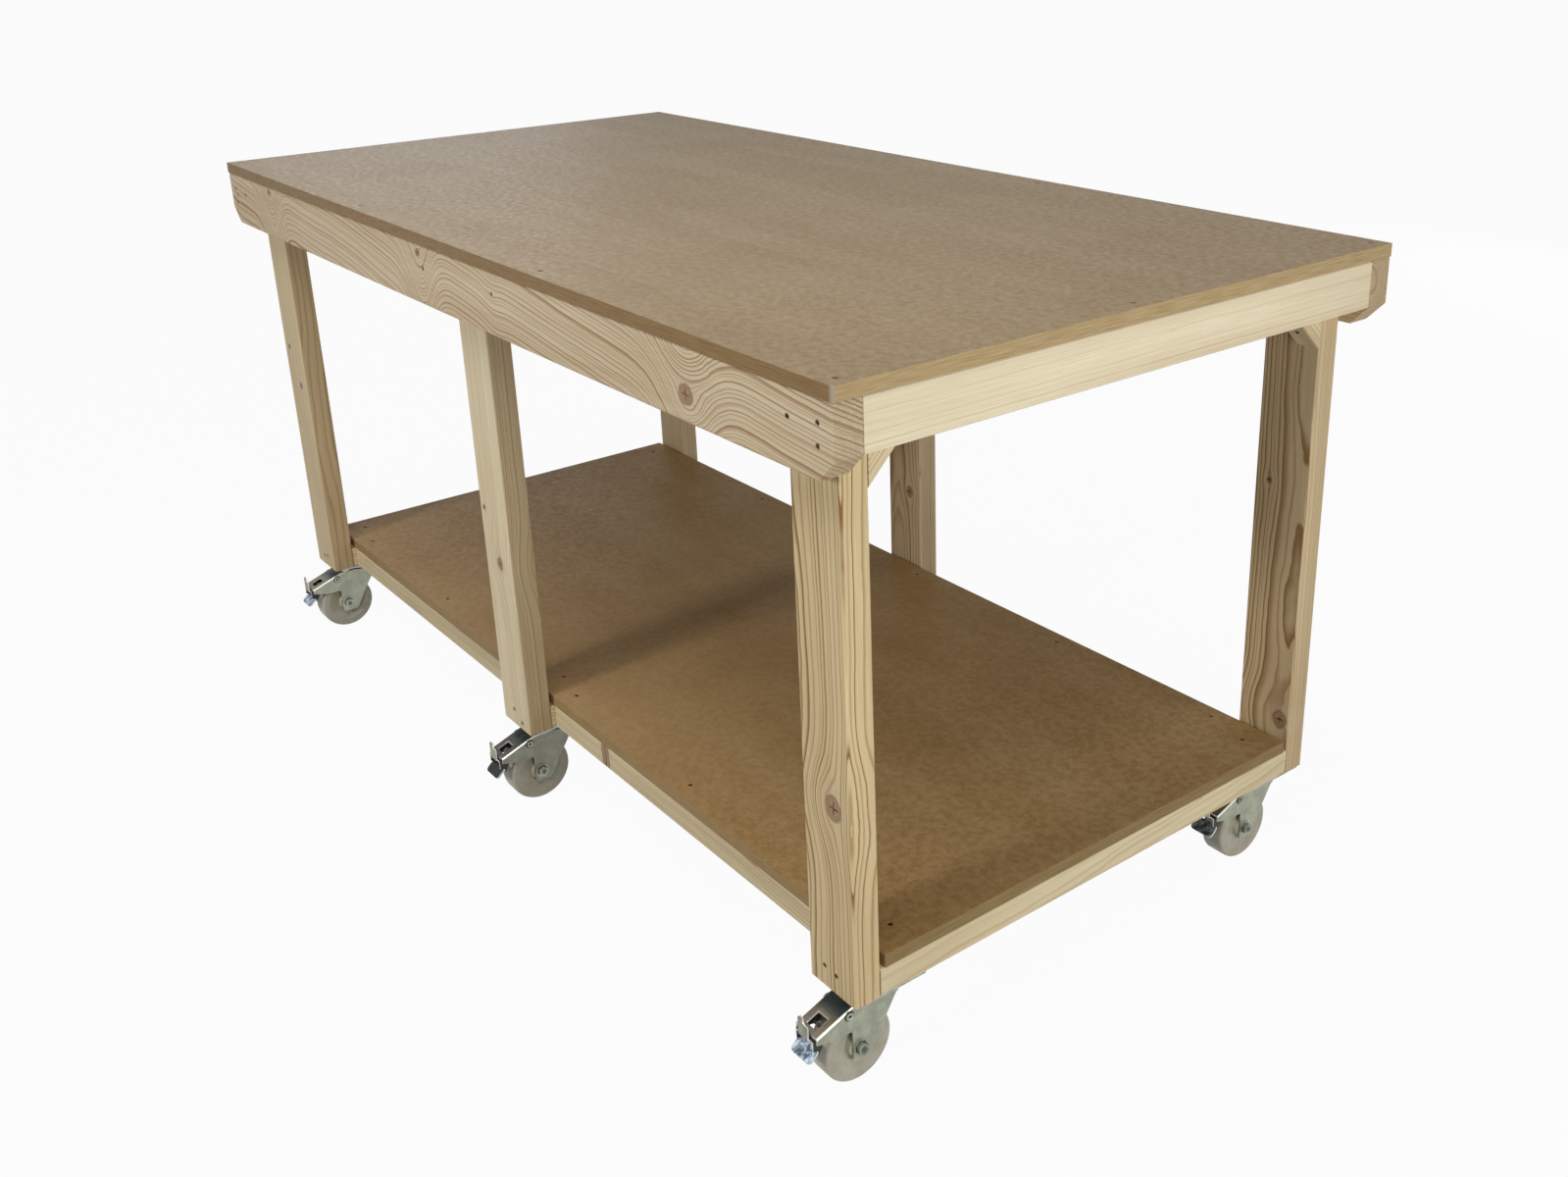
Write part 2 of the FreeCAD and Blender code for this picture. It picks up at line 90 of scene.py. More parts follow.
def clear_selection() -> None:
    """Deselect every object."""
    bpy.ops.object.select_all(action="DESELECT")


def activate(piece: Piece) -> None:
    """Make a piece the only selected and the active object."""
    clear_selection()
    piece.select_set(True)
    bpy.context.view_layer.objects.active = piece


def placed(name: str, data: bpy.types.ID) -> Piece:
    """A new object in the scene."""
    item = bpy.data.objects.new(name, data)
    bpy.context.scene.collection.objects.link(item)
    return item


def just_added(name: str) -> Piece:
    """The piece that an operator just added, named, with its place put into its mesh."""
    piece = bpy.context.view_layer.objects.active
    piece.name = name
    bpy.ops.object.transform_apply(location=True, rotation=True, scale=True)
    return piece


@contextmanager
def editing(piece: Piece) -> Iterator[None]:
    """Edit a piece, starting with nothing selected in it."""
    activate(piece)
    bpy.ops.object.mode_set(mode="EDIT")
    bpy.ops.mesh.select_mode(type="FACE")
    bpy.ops.mesh.select_all(action="DESELECT")
    yield
    bpy.ops.object.mode_set(mode="OBJECT")


def pick(piece: Piece, kind: str, wanted: Callable[[object], bool]) -> None:
    """Select, in edit mode, each FACE or EDGE that passes a test and no others."""
    bpy.ops.mesh.select_mode(type=kind)
    mesh = bmesh.from_edit_mesh(piece.data)
    for item in mesh.faces if kind == "FACE" else mesh.edges:
        item.select_set(wanted(item))
    mesh.select_flush_mode()
    bmesh.update_edit_mesh(piece.data)


def inset(piece: Piece, side: float, *steps: Pair) -> None:
    """Inset the faces of a piece that look along X, in steps.

    Args:
        piece: The piece.
        side: 1 for the faces that look right, -1 for those that look left.
        steps: Each step's width, and how far out it goes.
    """
    with editing(piece):
        pick(piece, "FACE", lambda face: side * face.normal.x > FLAT_ON)
        for thickness, depth in steps:
            bpy.ops.mesh.inset(thickness=thickness, depth=depth)


def modified(piece: Piece, kind: str, **settings: object) -> None:
    """Run one modifier on a piece."""
    modifier = piece.modifiers.new(kind, kind)
    for name, value in settings.items():
        setattr(modifier, name, value)
    activate(piece)
    bpy.ops.object.modifier_apply(modifier=modifier.name)


def soften(piece: Piece, width: float, segments: int = 2, limit_deg: float = 30.0) -> None:
    """Round a piece's edges.

    Args:
        piece: The piece, with merged faces.
        width: Width of each rounded edge in metres.
        segments: Steps across it.
        limit_deg: Edges that turn less than this stay as they are.
    """
    modified(piece, "BEVEL", limit_method="ANGLE", angle_limit=math.radians(limit_deg),
             width=width, segments=segments)


def smooth(piece: Piece, angle_deg: float = 40.0) -> None:
    """Shade a piece smooth between faces that meet at less than an angle, flats kept flat."""
    activate(piece)
    bpy.ops.object.shade_smooth_by_angle(angle=math.radians(angle_deg))
    modified(piece, "WEIGHTED_NORMAL", keep_sharp=True)


def subtract(piece: Piece, cutter: Piece) -> None:
    """Cut one piece's space out of another, and delete the cutter."""
    modified(piece, "BOOLEAN", operation="DIFFERENCE", solver="EXACT", object=cutter)
    mesh = cutter.data
    bpy.data.objects.remove(cutter)
    bpy.data.meshes.remove(mesh)


def join(pieces: Sequence[Piece], name: str) -> Piece:
    """Join pieces into one."""
    activate(pieces[0])
    for piece in pieces:
        piece.select_set(True)
    if len(pieces) > 1:
        bpy.ops.object.join()
    joined = bpy.context.view_layer.objects.active
    joined.name = joined.data.name = name
    return joined


def both_sides(name: str, make: Callable[[float], Piece]) -> Piece:
    """What is made for the left side, -1, and the right side, 1, as one smooth piece."""
    piece = join([make(-1.0), make(1.0)], name)
    smooth(piece)
    return piece


def copied(piece: Piece, name: str, move: Matrix) -> Piece:
    """A copy with its own mesh, moved inside that mesh."""
    mesh = piece.data.copy()
    mesh.transform(move)
    return placed(name, mesh)


def turned_rod(name: str, radius: float, ends: tuple[Vector, Vector], vertices: int = 32,
               far_radius: float | None = None) -> Piece:
    """A rod or cone between two points, as a start for a piece.

    Args:
        name: Object name.
        radius: Radius at the first end, in metres.
        ends: The two end points.
        vertices: Sides of the rod.
        far_radius: Radius at the second end, where it differs.

    Returns:
        The rod, with its place in its mesh.
    """
    line = ends[1] - ends[0]
    clear_selection()
    bpy.ops.mesh.primitive_cone_add(
        vertices=vertices, radius1=radius, radius2=radius if far_radius is None else far_radius,
        depth=line.length, location=(ends[0] + ends[1]) / 2,
        rotation=Vector((0, 0, 1)).rotation_difference(line).to_euler())
    return just_added(name)


def cad_copy(node: str, name: str) -> Piece:
    """A copy of a CAD node as one closed mesh of flat faces."""
    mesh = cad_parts[node].data.copy()
    mesh.materials.clear()
    piece = placed(name, mesh)
    activate(piece)
    bpy.ops.mesh.customdata_custom_splitnormals_clear()
    with editing(piece):
        bpy.ops.mesh.select_all(action="SELECT")
        bpy.ops.mesh.remove_doubles(threshold=0.01 * MM)
        bpy.ops.mesh.dissolve_limited(angle_limit=math.radians(1.0))
    return piece


def paint(piece: Piece, choose: Callable[[Vector, Vector], int], origin: Vector = Vector()
          ) -> None:
    """Number the finish of each face.

    Args:
        piece: The piece.
        choose: The finish's number in the piece's list, from a face's middle and normal.
        origin: Where the middles are measured from.
    """
    for face in piece.data.polygons:
        face.material_index = choose(face.center - origin, face.normal)


def fit(piece: Piece, body: str, slot: Slot, *finishes: Material,
        stands_for: Sequence[str] = ()) -> Piece:
    """Dress a finished piece and let it ride.

    Args:
        piece: The piece, with its place in its mesh.
        body: CAD body that carries it.
        slot: A slot for its finish; not used.
        finishes: Its materials, in the order in which its faces number them.
        stands_for: CAD nodes it is shown in place of.

    Returns:
        The same piece.
    """
    numbers = [face.material_index for face in piece.data.polygons]
    piece.data.materials.clear()
    for finish in finishes:
        piece.data.materials.append(finish)
    piece.data.polygons.foreach_set("material_index", numbers)
    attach(piece, body)
    if stands_for:
        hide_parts(*stands_for)
    log.info("%s rides on %s, %d faces", piece.name, body, len(piece.data.polygons))
    return piece


def dress_node(node: str, finish: Material) -> None:
    """Give a CAD node that is shown as it is its finish."""
    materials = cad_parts[node].data.materials
    materials.clear()
    materials.append(finish)
    log.info("%s is shown as built", node)


# ---------------------------------------------------------------- shader graphs

def srgb(red: int, green: int, blue: int) -> Colour:
    """A display colour, 0 to 255, as linear light."""
    def linear(value: int) -> float:
        """One channel."""
        share = value / 255.0
        return share / 12.92 if share <= 0.04045 else ((share + 0.055) / 1.055) ** 2.4
    return linear(red), linear(green), linear(blue)


class Signal:
    """A value in a shader graph. Sums and products of values add the nodes for them."""

    def __init__(self, graph: "Graph", socket: Socket) -> None:
        """Stand for a node's output."""
        self.graph, self.socket = graph, socket

    def apply(self, operation: str, *others: object, clamp: bool = False) -> "Signal":
        """The result of a maths node, or a vector maths node, with this value first."""
        if self.socket.type == "VALUE":
            return self.graph.run("ShaderNodeMath", "Value", (self, *others), operation=operation,
                                  use_clamp=clamp)
        output = "Value" if operation in ("LENGTH", "DOT_PRODUCT") else "Vector"
        return self.graph.run("ShaderNodeVectorMath", output, (self, *others), operation=operation)

    def __add__(self, other: object) -> "Signal":
        """Plus another value."""
        return self.apply("ADD", other)

    def __sub__(self, other: object) -> "Signal":
        """Minus another value."""
        return self.apply("SUBTRACT", other)

    def __mul__(self, other: object) -> "Signal":
        """Times another value; a vector is stretched by a number or by a tuple of three."""
        if self.socket.type == "VALUE" or isinstance(other, tuple):
            return self.apply("MULTIPLY", other)
        return self.graph.run("ShaderNodeVectorMath", "Vector", {0: self, "Scale": other},
                              operation="SCALE")

    def __truediv__(self, other: object) -> "Signal":
        """Divided by another value."""
        return self.apply("DIVIDE", other)

    def __pow__(self, power: float) -> "Signal":
        """To a power."""
        return self.apply("POWER", power)

    def __abs__(self) -> "Signal":
        """Without its sign."""
        return self.apply("ABSOLUTE")

    def parts(self) -> tuple["Signal", ...]:
        """The three parts of a vector."""
        node = self.graph.add("ShaderNodeSeparateXYZ", (self,))
        return tuple(Signal(self.graph, socket) for socket in node.outputs)

    def noise(self, scale: float, detail: float = 2.0, roughness: float = 0.5,
              colour: bool = False) -> "Signal":
        """Noise at this place, about 0.5 on average: one value, or three as a colour."""
        return self.graph.run(
            "ShaderNodeTexNoise", "Color" if colour else "Fac",
            {"Vector": self, "Scale": scale, "Detail": detail, "Roughness": roughness})

    def ramp(self, low: float, high: float, to_low: float = 0.0, to_high: float = 1.0) -> "Signal":
        """A smooth step from one level to another."""
        return self.graph.run("ShaderNodeMapRange", 0, (self, low, high, to_low, to_high),
                              interpolation_type="SMOOTHSTEP")

    def coated(self, *coats: tuple) -> "Signal":
        """This colour under coats, each a colour, its share and, if not MIX, how it blends."""
        colour = self
        for tone, share, *kind in coats:
            colour = self.graph.blend(share, colour, tone, *kind)
        return colour


class Graph:
    """Adds and links shader nodes, so that a finish reads as a list of steps."""

    def __init__(self, tree: bpy.types.NodeTree) -> None:
        """Work on one node tree."""
        self.tree = tree

    def add(self, kind: str, fed: Sequence[object] | dict = (), **settings: object
            ) -> bpy.types.Node:
        """A new node with some of its settings, its inputs fed in order or by name."""
        node = self.tree.nodes.new(kind)
        for name, value in settings.items():
            setattr(node, name, value)
        for name, value in fed.items() if isinstance(fed, dict) else enumerate(fed):
            self.feed(node.inputs[name], value)
        return node

    def run(self, kind: str, output: str | int, fed: Sequence[object] | dict = (),
            **settings: object) -> Signal:
        """One output of a new node."""
        return Signal(self, self.add(kind, fed, **settings).outputs[output])

    def feed(self, socket: Socket, value: object) -> None:
        """Link a socket to a value in the graph, or set it."""
        if isinstance(value, Signal):
            self.tree.links.new(value.socket, socket)
        elif isinstance(value, tuple) and len(value) == 3 and socket.type == "RGBA":
            socket.default_value = (*value, 1.0)
        else:
            socket.default_value = value

    def combine(self, *parts: object) -> Signal:
        """A vector of three parts."""
        return self.run("ShaderNodeCombineXYZ", 0, parts)

    def blend(self, share: object, first: object, second: object, kind: str = "MIX") -> Signal:
        """Two colours mixed by a share."""
        return self.run("ShaderNodeMix", 2, {0: share, 6: first, 7: second}, data_type="RGBA",
                        blend_type=kind, clamp_factor=True)

    def surface(self) -> tuple[Signal, Signal]:
        """The place on the object and the way its surface faces."""
        node = self.add("ShaderNodeTexCoord")
        return Signal(self, node.outputs["Object"]), Signal(self, node.outputs["Normal"])

    def seen(self) -> Signal:
        """1 where the camera looks, straight or by a mirror or glass, and 0 for other light."""
        path = self.add("ShaderNodeLightPath")
        camera, glossy, clear = (Signal(self, path.outputs[f"Is {ray} Ray"])
                                 for ray in ("Camera", "Glossy", "Transmission"))
        return camera.apply("MAXIMUM", glossy.apply("MAXIMUM", clear))

    def group(self, tree: bpy.types.NodeTree, **values: object) -> dict[str, Signal]:
        """A placed node group's outputs by name."""
        node = self.add("ShaderNodeGroup", values, node_tree=tree)
        return {socket.name: Signal(self, socket) for socket in node.outputs}


class Effect:
    """A shader node group in the making."""

    def __init__(self, name: str, vectors: str, numbers: str, colours: str = "") -> None:
        """Make the group; each kind's inputs are named in one string, and given in order."""
        self.tree = bpy.data.node_groups.new(name, "ShaderNodeTree")
        for kind, names in (("Vector", vectors), ("Float", numbers), ("Color", colours)):
            for socket in names.split():
                self._socket(socket, "INPUT", kind)
        self.graph = Graph(self.tree)
        entry = self.graph.add("NodeGroupInput")
        self.given = [Signal(self.graph, socket) for socket in entry.outputs if socket.name]

    def _socket(self, name: str, way: str, kind: str) -> None:
        """A new input or output of the group."""
        self.tree.interface.new_socket(name=name, in_out=way, socket_type=f"NodeSocket{kind}")

    def put(self, **outputs: Signal) -> bpy.types.NodeTree:
        """Give the group its outputs, and return it."""
        for name, signal in outputs.items():
            self._socket(name, "OUTPUT", "Color" if signal.socket.type == "RGBA" else "Float")
        self.graph.add("NodeGroupOutput", outputs)
        return self.tree


def shaded(name: str) -> tuple[Material, Graph, bpy.types.Node]:
    """A new material, its graph and its Principled shader."""
    material = bpy.data.materials.new(name)
    material.use_nodes = True
    graph = Graph(material.node_tree)
    return material, graph, material.node_tree.nodes["Principled BSDF"]


def covered(graph: Graph, shader: bpy.types.Node, look: dict[str, Signal], depth: float,
            strength: float) -> None:
    """Feed a shader's colour, roughness and normal.

    Args:
        graph: The material's graph.
        shader: Its Principled shader.
        look: Its Color, Roughness and, as 0 to 1, Height.
        depth: What a height of 1 stands for, in metres.
        strength: Strength of the bump.
    """
    graph.feed(shader.inputs["Base Color"], look["Color"])
    graph.feed(shader.inputs["Roughness"], look["Roughness"])
    graph.feed(shader.inputs["Normal"], graph.run(
        "ShaderNodeBump", "Normal",
        {"Strength": strength, "Distance": depth, "Height": look["Height"]}))


# ---------------------------------------------------------------- effects

MIDDLE_GREY = (0.5, 0.5, 0.5)


def knot_effect() -> bpy.types.NodeTree:
    """Group: pushes the grain aside round a knot and gives the knot's own marks."""
    effect = Effect("knot", "Vector Place", "Radius Pull Reach")
    vector, place, radius, pull, reach = effect.given
    rough = vector.noise(60.0, 2.0, colour=True) - MIDDLE_GREY
    along, across, _ = (vector - place + rough * (0.006, 0.006, 0.0)).parts()
    spread = (along / (radius * 3.2)) ** 2.0 + (across / (radius * 2.1)) ** 2.0
    hill = (spread * -1.0).apply("EXPONENT")
    drawn = pull * ((along / reach) ** 2.0 * -1.0).apply("EXPONENT")
    share = (along ** 2.0 * 0.7 + across ** 2.0).apply("SQRT") / radius
    rings = (share * 22.0).apply("SINE")
    jitter = (vector.noise(300.0, 1.0) - 0.5) * 0.004
    upright = abs(along + jitter).ramp(0.0004, 0.0019, 1.0, 0.0)
    level = abs(across + jitter).ramp(0.0003, 0.0014, 1.0, 0.0)
    return effect.put(
        Aside=across * hill * -0.92 + drawn,
        Core=share.ramp(0.84, 1.02, 1.0, 0.0) * rings.ramp(-1.0, 1.0, 0.75, 1.0),
        Rim=share.ramp(0.72, 0.95) * share.ramp(1.0, 1.15, 1.0, 0.0),
        Halo=share.ramp(0.7, 2.4, 1.0, 0.0),
        Crack=upright.apply("MAXIMUM", level) * share.ramp(0.35, 0.75, 1.0, 0.0))


def ring_effect() -> bpy.types.NodeTree:
    """Group: growth rings about a wandering pith, late wood as 0 to 1."""
    effect = Effect("growth rings", "Vector Pith Lean", "Ring Wander Seed")
    g = effect.graph
    vector, pith, lean, ring, wander, seed = effect.given
    along, _, _ = vector.parts()
    shift = g.combine(seed, seed * 1.7, 0.0)
    slow = (vector * (1.0, 1.6, 1.6) + shift).noise(2.6, 1.0, colour=True)
    quick = (vector * (1.0, 2.2, 2.2) + shift).noise(13.0, 2.0, colour=True)
    sway = (slow - MIDDLE_GREY) * wander + (quick - MIDDLE_GREY) * (wander * 0.16)
    _, across, through = (vector - (pith + lean * along) + sway).parts()
    years = (across ** 2.0 + through ** 2.0).apply("SQRT") / ring
    years = years + g.combine(years, seed, 0.0).noise(0.45, 1.0) * 2.6
    season = years.apply("FRACT")
    late = season.ramp(0.35, 0.9) ** 1.8 * season.ramp(0.92, 1.0, 1.0, 0.0)
    year = g.run("ShaderNodeTexWhiteNoise", "Value", {"W": years.apply("FLOOR") + seed},
                 noise_dimensions="1D")
    return effect.put(Late=late * year.ramp(0.0, 1.0, 0.50, 1.0))


def planed_effect() -> bpy.types.NodeTree:
    """Group: colour, roughness and height of planed pine from its rings and knots."""
    effect = Effect("planed pine", "Vector", "End Late Core Rim Halo Crack Contrast",
                    "Early_Colour Late_Colour")
    vector, end, late, core, rim, halo, crack, contrast, early_colour, late_colour = effect.given
    fibres = (vector * (14.0, 900.0, 900.0)).noise(1.0, 3.0, 0.6)
    streaks = (vector * (2.2, 90.0, 90.0)).noise(1.0, 3.0, 0.55)
    patches = (vector * (3.0, 14.0, 14.0)).noise(1.0, 2.0)
    canals = (vector * (45.0, 1100.0, 1100.0)).noise(1.0, 1.0).ramp(0.70, 0.78)
    late = late * contrast
    wood = early_colour.coated(
        (late_colour, late),
        (srgb(208, 186, 160), patches.ramp(0.35, 0.75, 0.0, 0.24), "MULTIPLY"),
        (srgb(214, 194, 170), streaks.ramp(0.30, 0.75, 0.0, 0.24), "MULTIPLY"),
        (srgb(186, 166, 146), fibres.ramp(0.30, 0.72, 0.0, 0.20), "MULTIPLY"),
        (srgb(120, 84, 52), canals * 0.28),
        (srgb(204, 188, 162), halo * 0.42),
        (srgb(148, 108, 74), core * 0.85),
        (srgb(112, 76, 46), rim * 0.55),
        (srgb(38, 28, 20), crack))
    sawn = wood.coated((srgb(168, 156, 132), fibres.ramp(0.3, 0.7, 0.1, 0.6), "MULTIPLY"))
    return effect.put(Color=wood.coated((sawn, end)), Roughness=late.ramp(0.0, 1.0, 0.62, 0.50),
                      Height=late * 0.35 + fibres * 0.5 - crack * 1.5)


def board_effect() -> bpy.types.NodeTree:
    """Group: colour, roughness and height of raw medium-density fibreboard."""
    effect = Effect("fibreboard", "Vector", "Edge Worn Mottle Seed", "Face_Colour Edge_Colour")
    vector, edge, paled, strength, seed, face_colour, edge_colour = effect.given
    place = vector + effect.graph.combine(seed, seed, 0.0)
    clouds = place.noise(5.0, 3.0, 0.55)
    bands = (place * (1.2, 11.0, 1.0)).noise(1.0, 2.0)
    mottle = place.noise(95.0, 3.0, 0.6)
    dust = place.noise(420.0, 2.0, 0.6)
    tangled = place * (260.0, 620.0, 400.0) + place.noise(30.0, 1.0, colour=True) * 14.0
    fibres = tangled.noise(1.0, 2.0, 0.5)
    saw = (place * (24.0, 24.0, 900.0)).noise(1.0, 2.0)
    along, _, _ = vector.parts()
    strong = strength * along.ramp(0.0, 0.9, 0.4, 1.0)
    face = face_colour.coated(
        (srgb(206, 184, 150), clouds.ramp(0.35, 0.70, 0.0, 0.22), "MULTIPLY"),
        (srgb(190, 176, 150), bands.ramp(0.42, 0.68, 0.0, 0.07), "SCREEN"),
        (srgb(176, 154, 122), mottle.ramp(0.30, 0.72) * strong, "MULTIPLY"),
        (srgb(205, 186, 150), fibres.ramp(0.56, 0.76) * (strong * 0.7)),
        (srgb(92, 66, 42), dust.ramp(0.55, 0.80, 0.0, 0.35)))
    sawn = edge_colour.coated((srgb(186, 168, 150), saw.ramp(0.3, 0.7, 0.0, 0.5), "MULTIPLY"))
    # Pale grey toning round the chosen corner, broken by the mottle.
    paling = paled * mottle.ramp(0.35, 0.6, 0.45, 1.0)
    return effect.put(Color=face.coated((sawn, edge), (srgb(172, 162, 146), paling)),
                      Roughness=mottle.ramp(0.3, 0.7, 0.40, 0.55),
                      Height=mottle * 0.5 + dust * 0.5)


def zinc_effect() -> bpy.types.NodeTree:
    """Group: colour, roughness and height of zinc-plated pressed steel."""
    effect = Effect("zinc plating", "Vector", "Mottle", "Bright_Colour Dull_Colour")
    vector, mottle, bright, dull = effect.given
    clouds = vector.noise(45.0, 3.0, 0.6)
    specks = vector.noise(260.0, 3.0, 0.65)
    flake, _, _ = effect.graph.run("ShaderNodeTexVoronoi", "Color",
                                   {"Vector": vector, "Scale": 170.0}, feature="F1").parts()
    share = clouds.ramp(0.35, 0.68).apply("ADD", (flake - 0.5) * mottle, clamp=True)
    return effect.put(
        Color=dull.coated((bright, share), (srgb(92, 92, 82), specks.ramp(0.60, 0.78) * mottle)),
        Roughness=clouds.ramp(0.3, 0.7, 0.30, 0.44) + specks.ramp(0.4, 0.8, 0.0, 0.12),
        Height=specks)


class Effects:
    """The shader node groups that more than one finish uses, each built once."""

    def __init__(self) -> None:
        """Build every group."""
        self.knot = knot_effect()
        self.rings = ring_effect()
        self.planed = planed_effect()
        self.board = board_effect()
        self.zinc = zinc_effect()


# ---------------------------------------------------------------- finishes

@dataclass(frozen=True)
class Knot:
    """A knot on the wide face, in millimetres.

    Attributes:
        along: From the plank's middle along its grain.
        across: From the plank's middle across its face.
        radius: Radius of the knot itself.
        pull: How far it draws the rings across the face.
        reach: How far along the grain they follow.
    """

    along: float
    across: float
    radius: float
    pull: float = 0.0
    reach: float = 40.0


@dataclass(frozen=True)
class Pine:
    """How one plank was cut from its log, in millimetres.

    Attributes:
        grain: Which way the plank lies.
        pith: The log's heart, across and through from the plank's middle.
        lean: How far the heart moves across and through for each unit along.
        ring: Width of a year's growth.
        wander: How far the heart wanders.
        early: Colour of the spring wood.
        late: Colour of the summer wood.
        contrast: Strength of the rings.
        knots: The knots on its wide face.
        edges: Painted shade on its narrow edges, as a share of the face's tone.
        gloss: Level of its mirrored light.
    """

    grain: Grain
    pith: Pair = (-60.0, 70.0)
    lean: Pair = (0.0, 0.0)
    ring: float = 3.8
    wander: float = 8.0
    early: Colour = srgb(222, 204, 168)
    late: Colour = srgb(158, 124, 86)
    contrast: float = 0.85
    knots: tuple[Knot, ...] = ()
    edges: Colour = (1.0, 1.0, 1.0)
    gloss: float = 0.3

    def material(self, name: str, middle: Vector, effects: Effects, seed: float
                 ) -> Material:
        """Build the plank's material.

        Args:
            name: Material name.
            middle: The plank's middle in the table's frame, metres.
            effects: The shared groups.
            seed: Moves the random part of the figure.

        Returns:
            The material.
        """
        material, g, shader = shaded(name)
        axes = self.grain.axes()
        along, across = (tuple(axis) for axis in self.grain.value)
        place, facing = g.surface()
        lay = g.run("ShaderNodeMapping", 0, {"Vector": place, "Rotation": axes.to_euler(),
                                             "Location": -(axes @ middle)})
        grain = lay
        marks: dict[str, object] = {"Core": 0.0, "Rim": 0.0, "Halo": 0.0, "Crack": 0.0}
        for knot in self.knots:
            found = g.group(effects.knot, Vector=grain, Radius=knot.radius * MM,
                            Place=(knot.along * MM, knot.across * MM, 0.0),
                            Pull=knot.pull * MM, Reach=knot.reach * MM)
            grain = grain + g.combine(0.0, found["Aside"], 0.0)
            marks = {mark: found[mark].apply("MAXIMUM", value) for mark, value in marks.items()}
        rings = g.group(effects.rings, Vector=grain, Lean=(0.0, *self.lean), Seed=seed,
                        Pith=(0.0, *(part * MM for part in self.pith)),
                        Ring=self.ring * MM, Wander=self.wander * MM * 2.0)
        wood = g.group(effects.planed, Vector=lay, Late=rings["Late"],
                       End=abs(facing.apply("DOT_PRODUCT", along)).ramp(0.5, 0.75),
                       Early_Colour=self.early, Late_Colour=self.late, Contrast=self.contrast,
                       **marks)
        # Painted shade: the narrow edges' colour is multiplied by the plank's edges figures.
        narrow = abs(facing.apply("DOT_PRODUCT", across)).ramp(0.5, 0.75)
        wood["Color"] = wood["Color"].coated((self.edges, narrow, "MULTIPLY"))
        shader.inputs["Specular IOR Level"].default_value = self.gloss
        covered(g, shader, wood, 0.3 * MM, 0.5)
        return material


@dataclass(frozen=True)
class Fibreboard:
    """Raw board.

    Attributes:
        face: Colour of its faces.
        seed: Moves the random part of its look.
        mottle: Strength of the mottling.
        edge: Colour of its long edges.
        end_edge: Colour of its short edges.
        paled_corner: Place of a corner toned pale grey, in the table's frame.
        gloss: Level of its mirrored light.
    """

    face: Colour = srgb(153, 132, 99)
    seed: float = 0.0
    mottle: float = 0.28
    edge: Colour = srgb(148, 122, 84)
    end_edge: Colour = srgb(194, 171, 128)
    paled_corner: Triple | None = None
    gloss: float = 0.12

    def material(self, name: str, effects: Effects) -> Material:
        """Build the board's material from the shared groups."""
        material, g, shader = shaded(name)
        place, facing = g.surface()
        side, _, up = facing.parts()
        paled: object = 0.0
        # A pale grey toning a few millimetres round one vertical corner.
        if self.paled_corner is not None:
            away = (place - self.paled_corner) * (1.0, 1.0, 0.25)
            paled = away.apply("LENGTH").ramp(0.002, 0.006, 1.0, 0.0)
        board = g.group(effects.board, Vector=place, Edge=abs(up).ramp(0.55, 0.75, 1.0, 0.0),
                        Worn=paled, Mottle=self.mottle, Seed=self.seed, Face_Colour=self.face,
                        Edge_Colour=g.blend(abs(side).ramp(0.5, 0.8), self.edge, self.end_edge))
        shader.inputs["Specular IOR Level"].default_value = self.gloss
        covered(g, shader, board, 0.2 * MM, 0.4)
        return material


@dataclass(frozen=True)
class Zinc:
    """Zinc-plated steel.

    Attributes:
        bright: Colour of its clear patches.
        dull: Colour of its clouded patches.
        upward_painted_shade: Painted shade on faces that look up, where it differs.
        fold_reflection: Painted dark reflection on such faces where the hood folds.
        turned_edge_highlight: Painted highlight on edges that turn over from the top to a side.
        metallic: How far it mirrors as metal.
        mottle: Strength of its flakes and specks.
        scale: Size of its figure, more being finer.
        fold_reflection_low: Heights over which the painted reflection at the fold comes in.
        fold_reflection_high: Heights over which it fades again.
    """

    bright: Colour = srgb(168, 171, 152)
    dull: Colour = srgb(146, 150, 132)
    upward_painted_shade: Colour | None = None
    fold_reflection: Colour = srgb(58, 70, 72)
    turned_edge_highlight: Colour | None = None
    metallic: float = 0.75
    mottle: float = 0.15
    scale: float = 1.0
    fold_reflection_low: Pair = (103.5 * MM, 109.5 * MM)
    fold_reflection_high: Pair = (112.5 * MM, 115.5 * MM)

    def material(self, name: str, effects: Effects) -> Material:
        """Build the plating's material from the shared groups."""
        material, g, shader = shaded(name)
        shader.inputs["Metallic"].default_value = self.metallic
        place, facing = g.surface()
        plate = g.group(effects.zinc, Vector=place * self.scale, Bright_Colour=self.bright,
                        Dull_Colour=self.dull, Mottle=self.mottle)
        side, _, up = facing.parts()
        # Painted shade on faces that look up, with a band of painted dark reflection where the
        # hood folds; these faces also mirror less.
        if self.upward_painted_shade is not None:
            above = up.ramp(0.60, 0.85)
            _, _, height = place.parts()
            band = height.ramp(*self.fold_reflection_low) * height.ramp(*self.fold_reflection_high, 1.0, 0.4)
            plate["Color"] = plate["Color"].coated((g.blend(band, self.upward_painted_shade, self.fold_reflection), above))
            plate["Roughness"] = plate["Roughness"] - above * 0.14
            g.feed(shader.inputs["Metallic"], above.ramp(0.0, 1.0, self.metallic, 0.35))
        # Painted highlight on edges that turn over from the top to a side.
        if self.turned_edge_highlight is not None:
            share = abs(side).ramp(0.25, 0.5) * up.ramp(0.15, 0.45)
            plate["Color"] = plate["Color"].coated((self.turned_edge_highlight, share))
        covered(g, shader, plate, 0.1 * MM, 0.5)
        return material


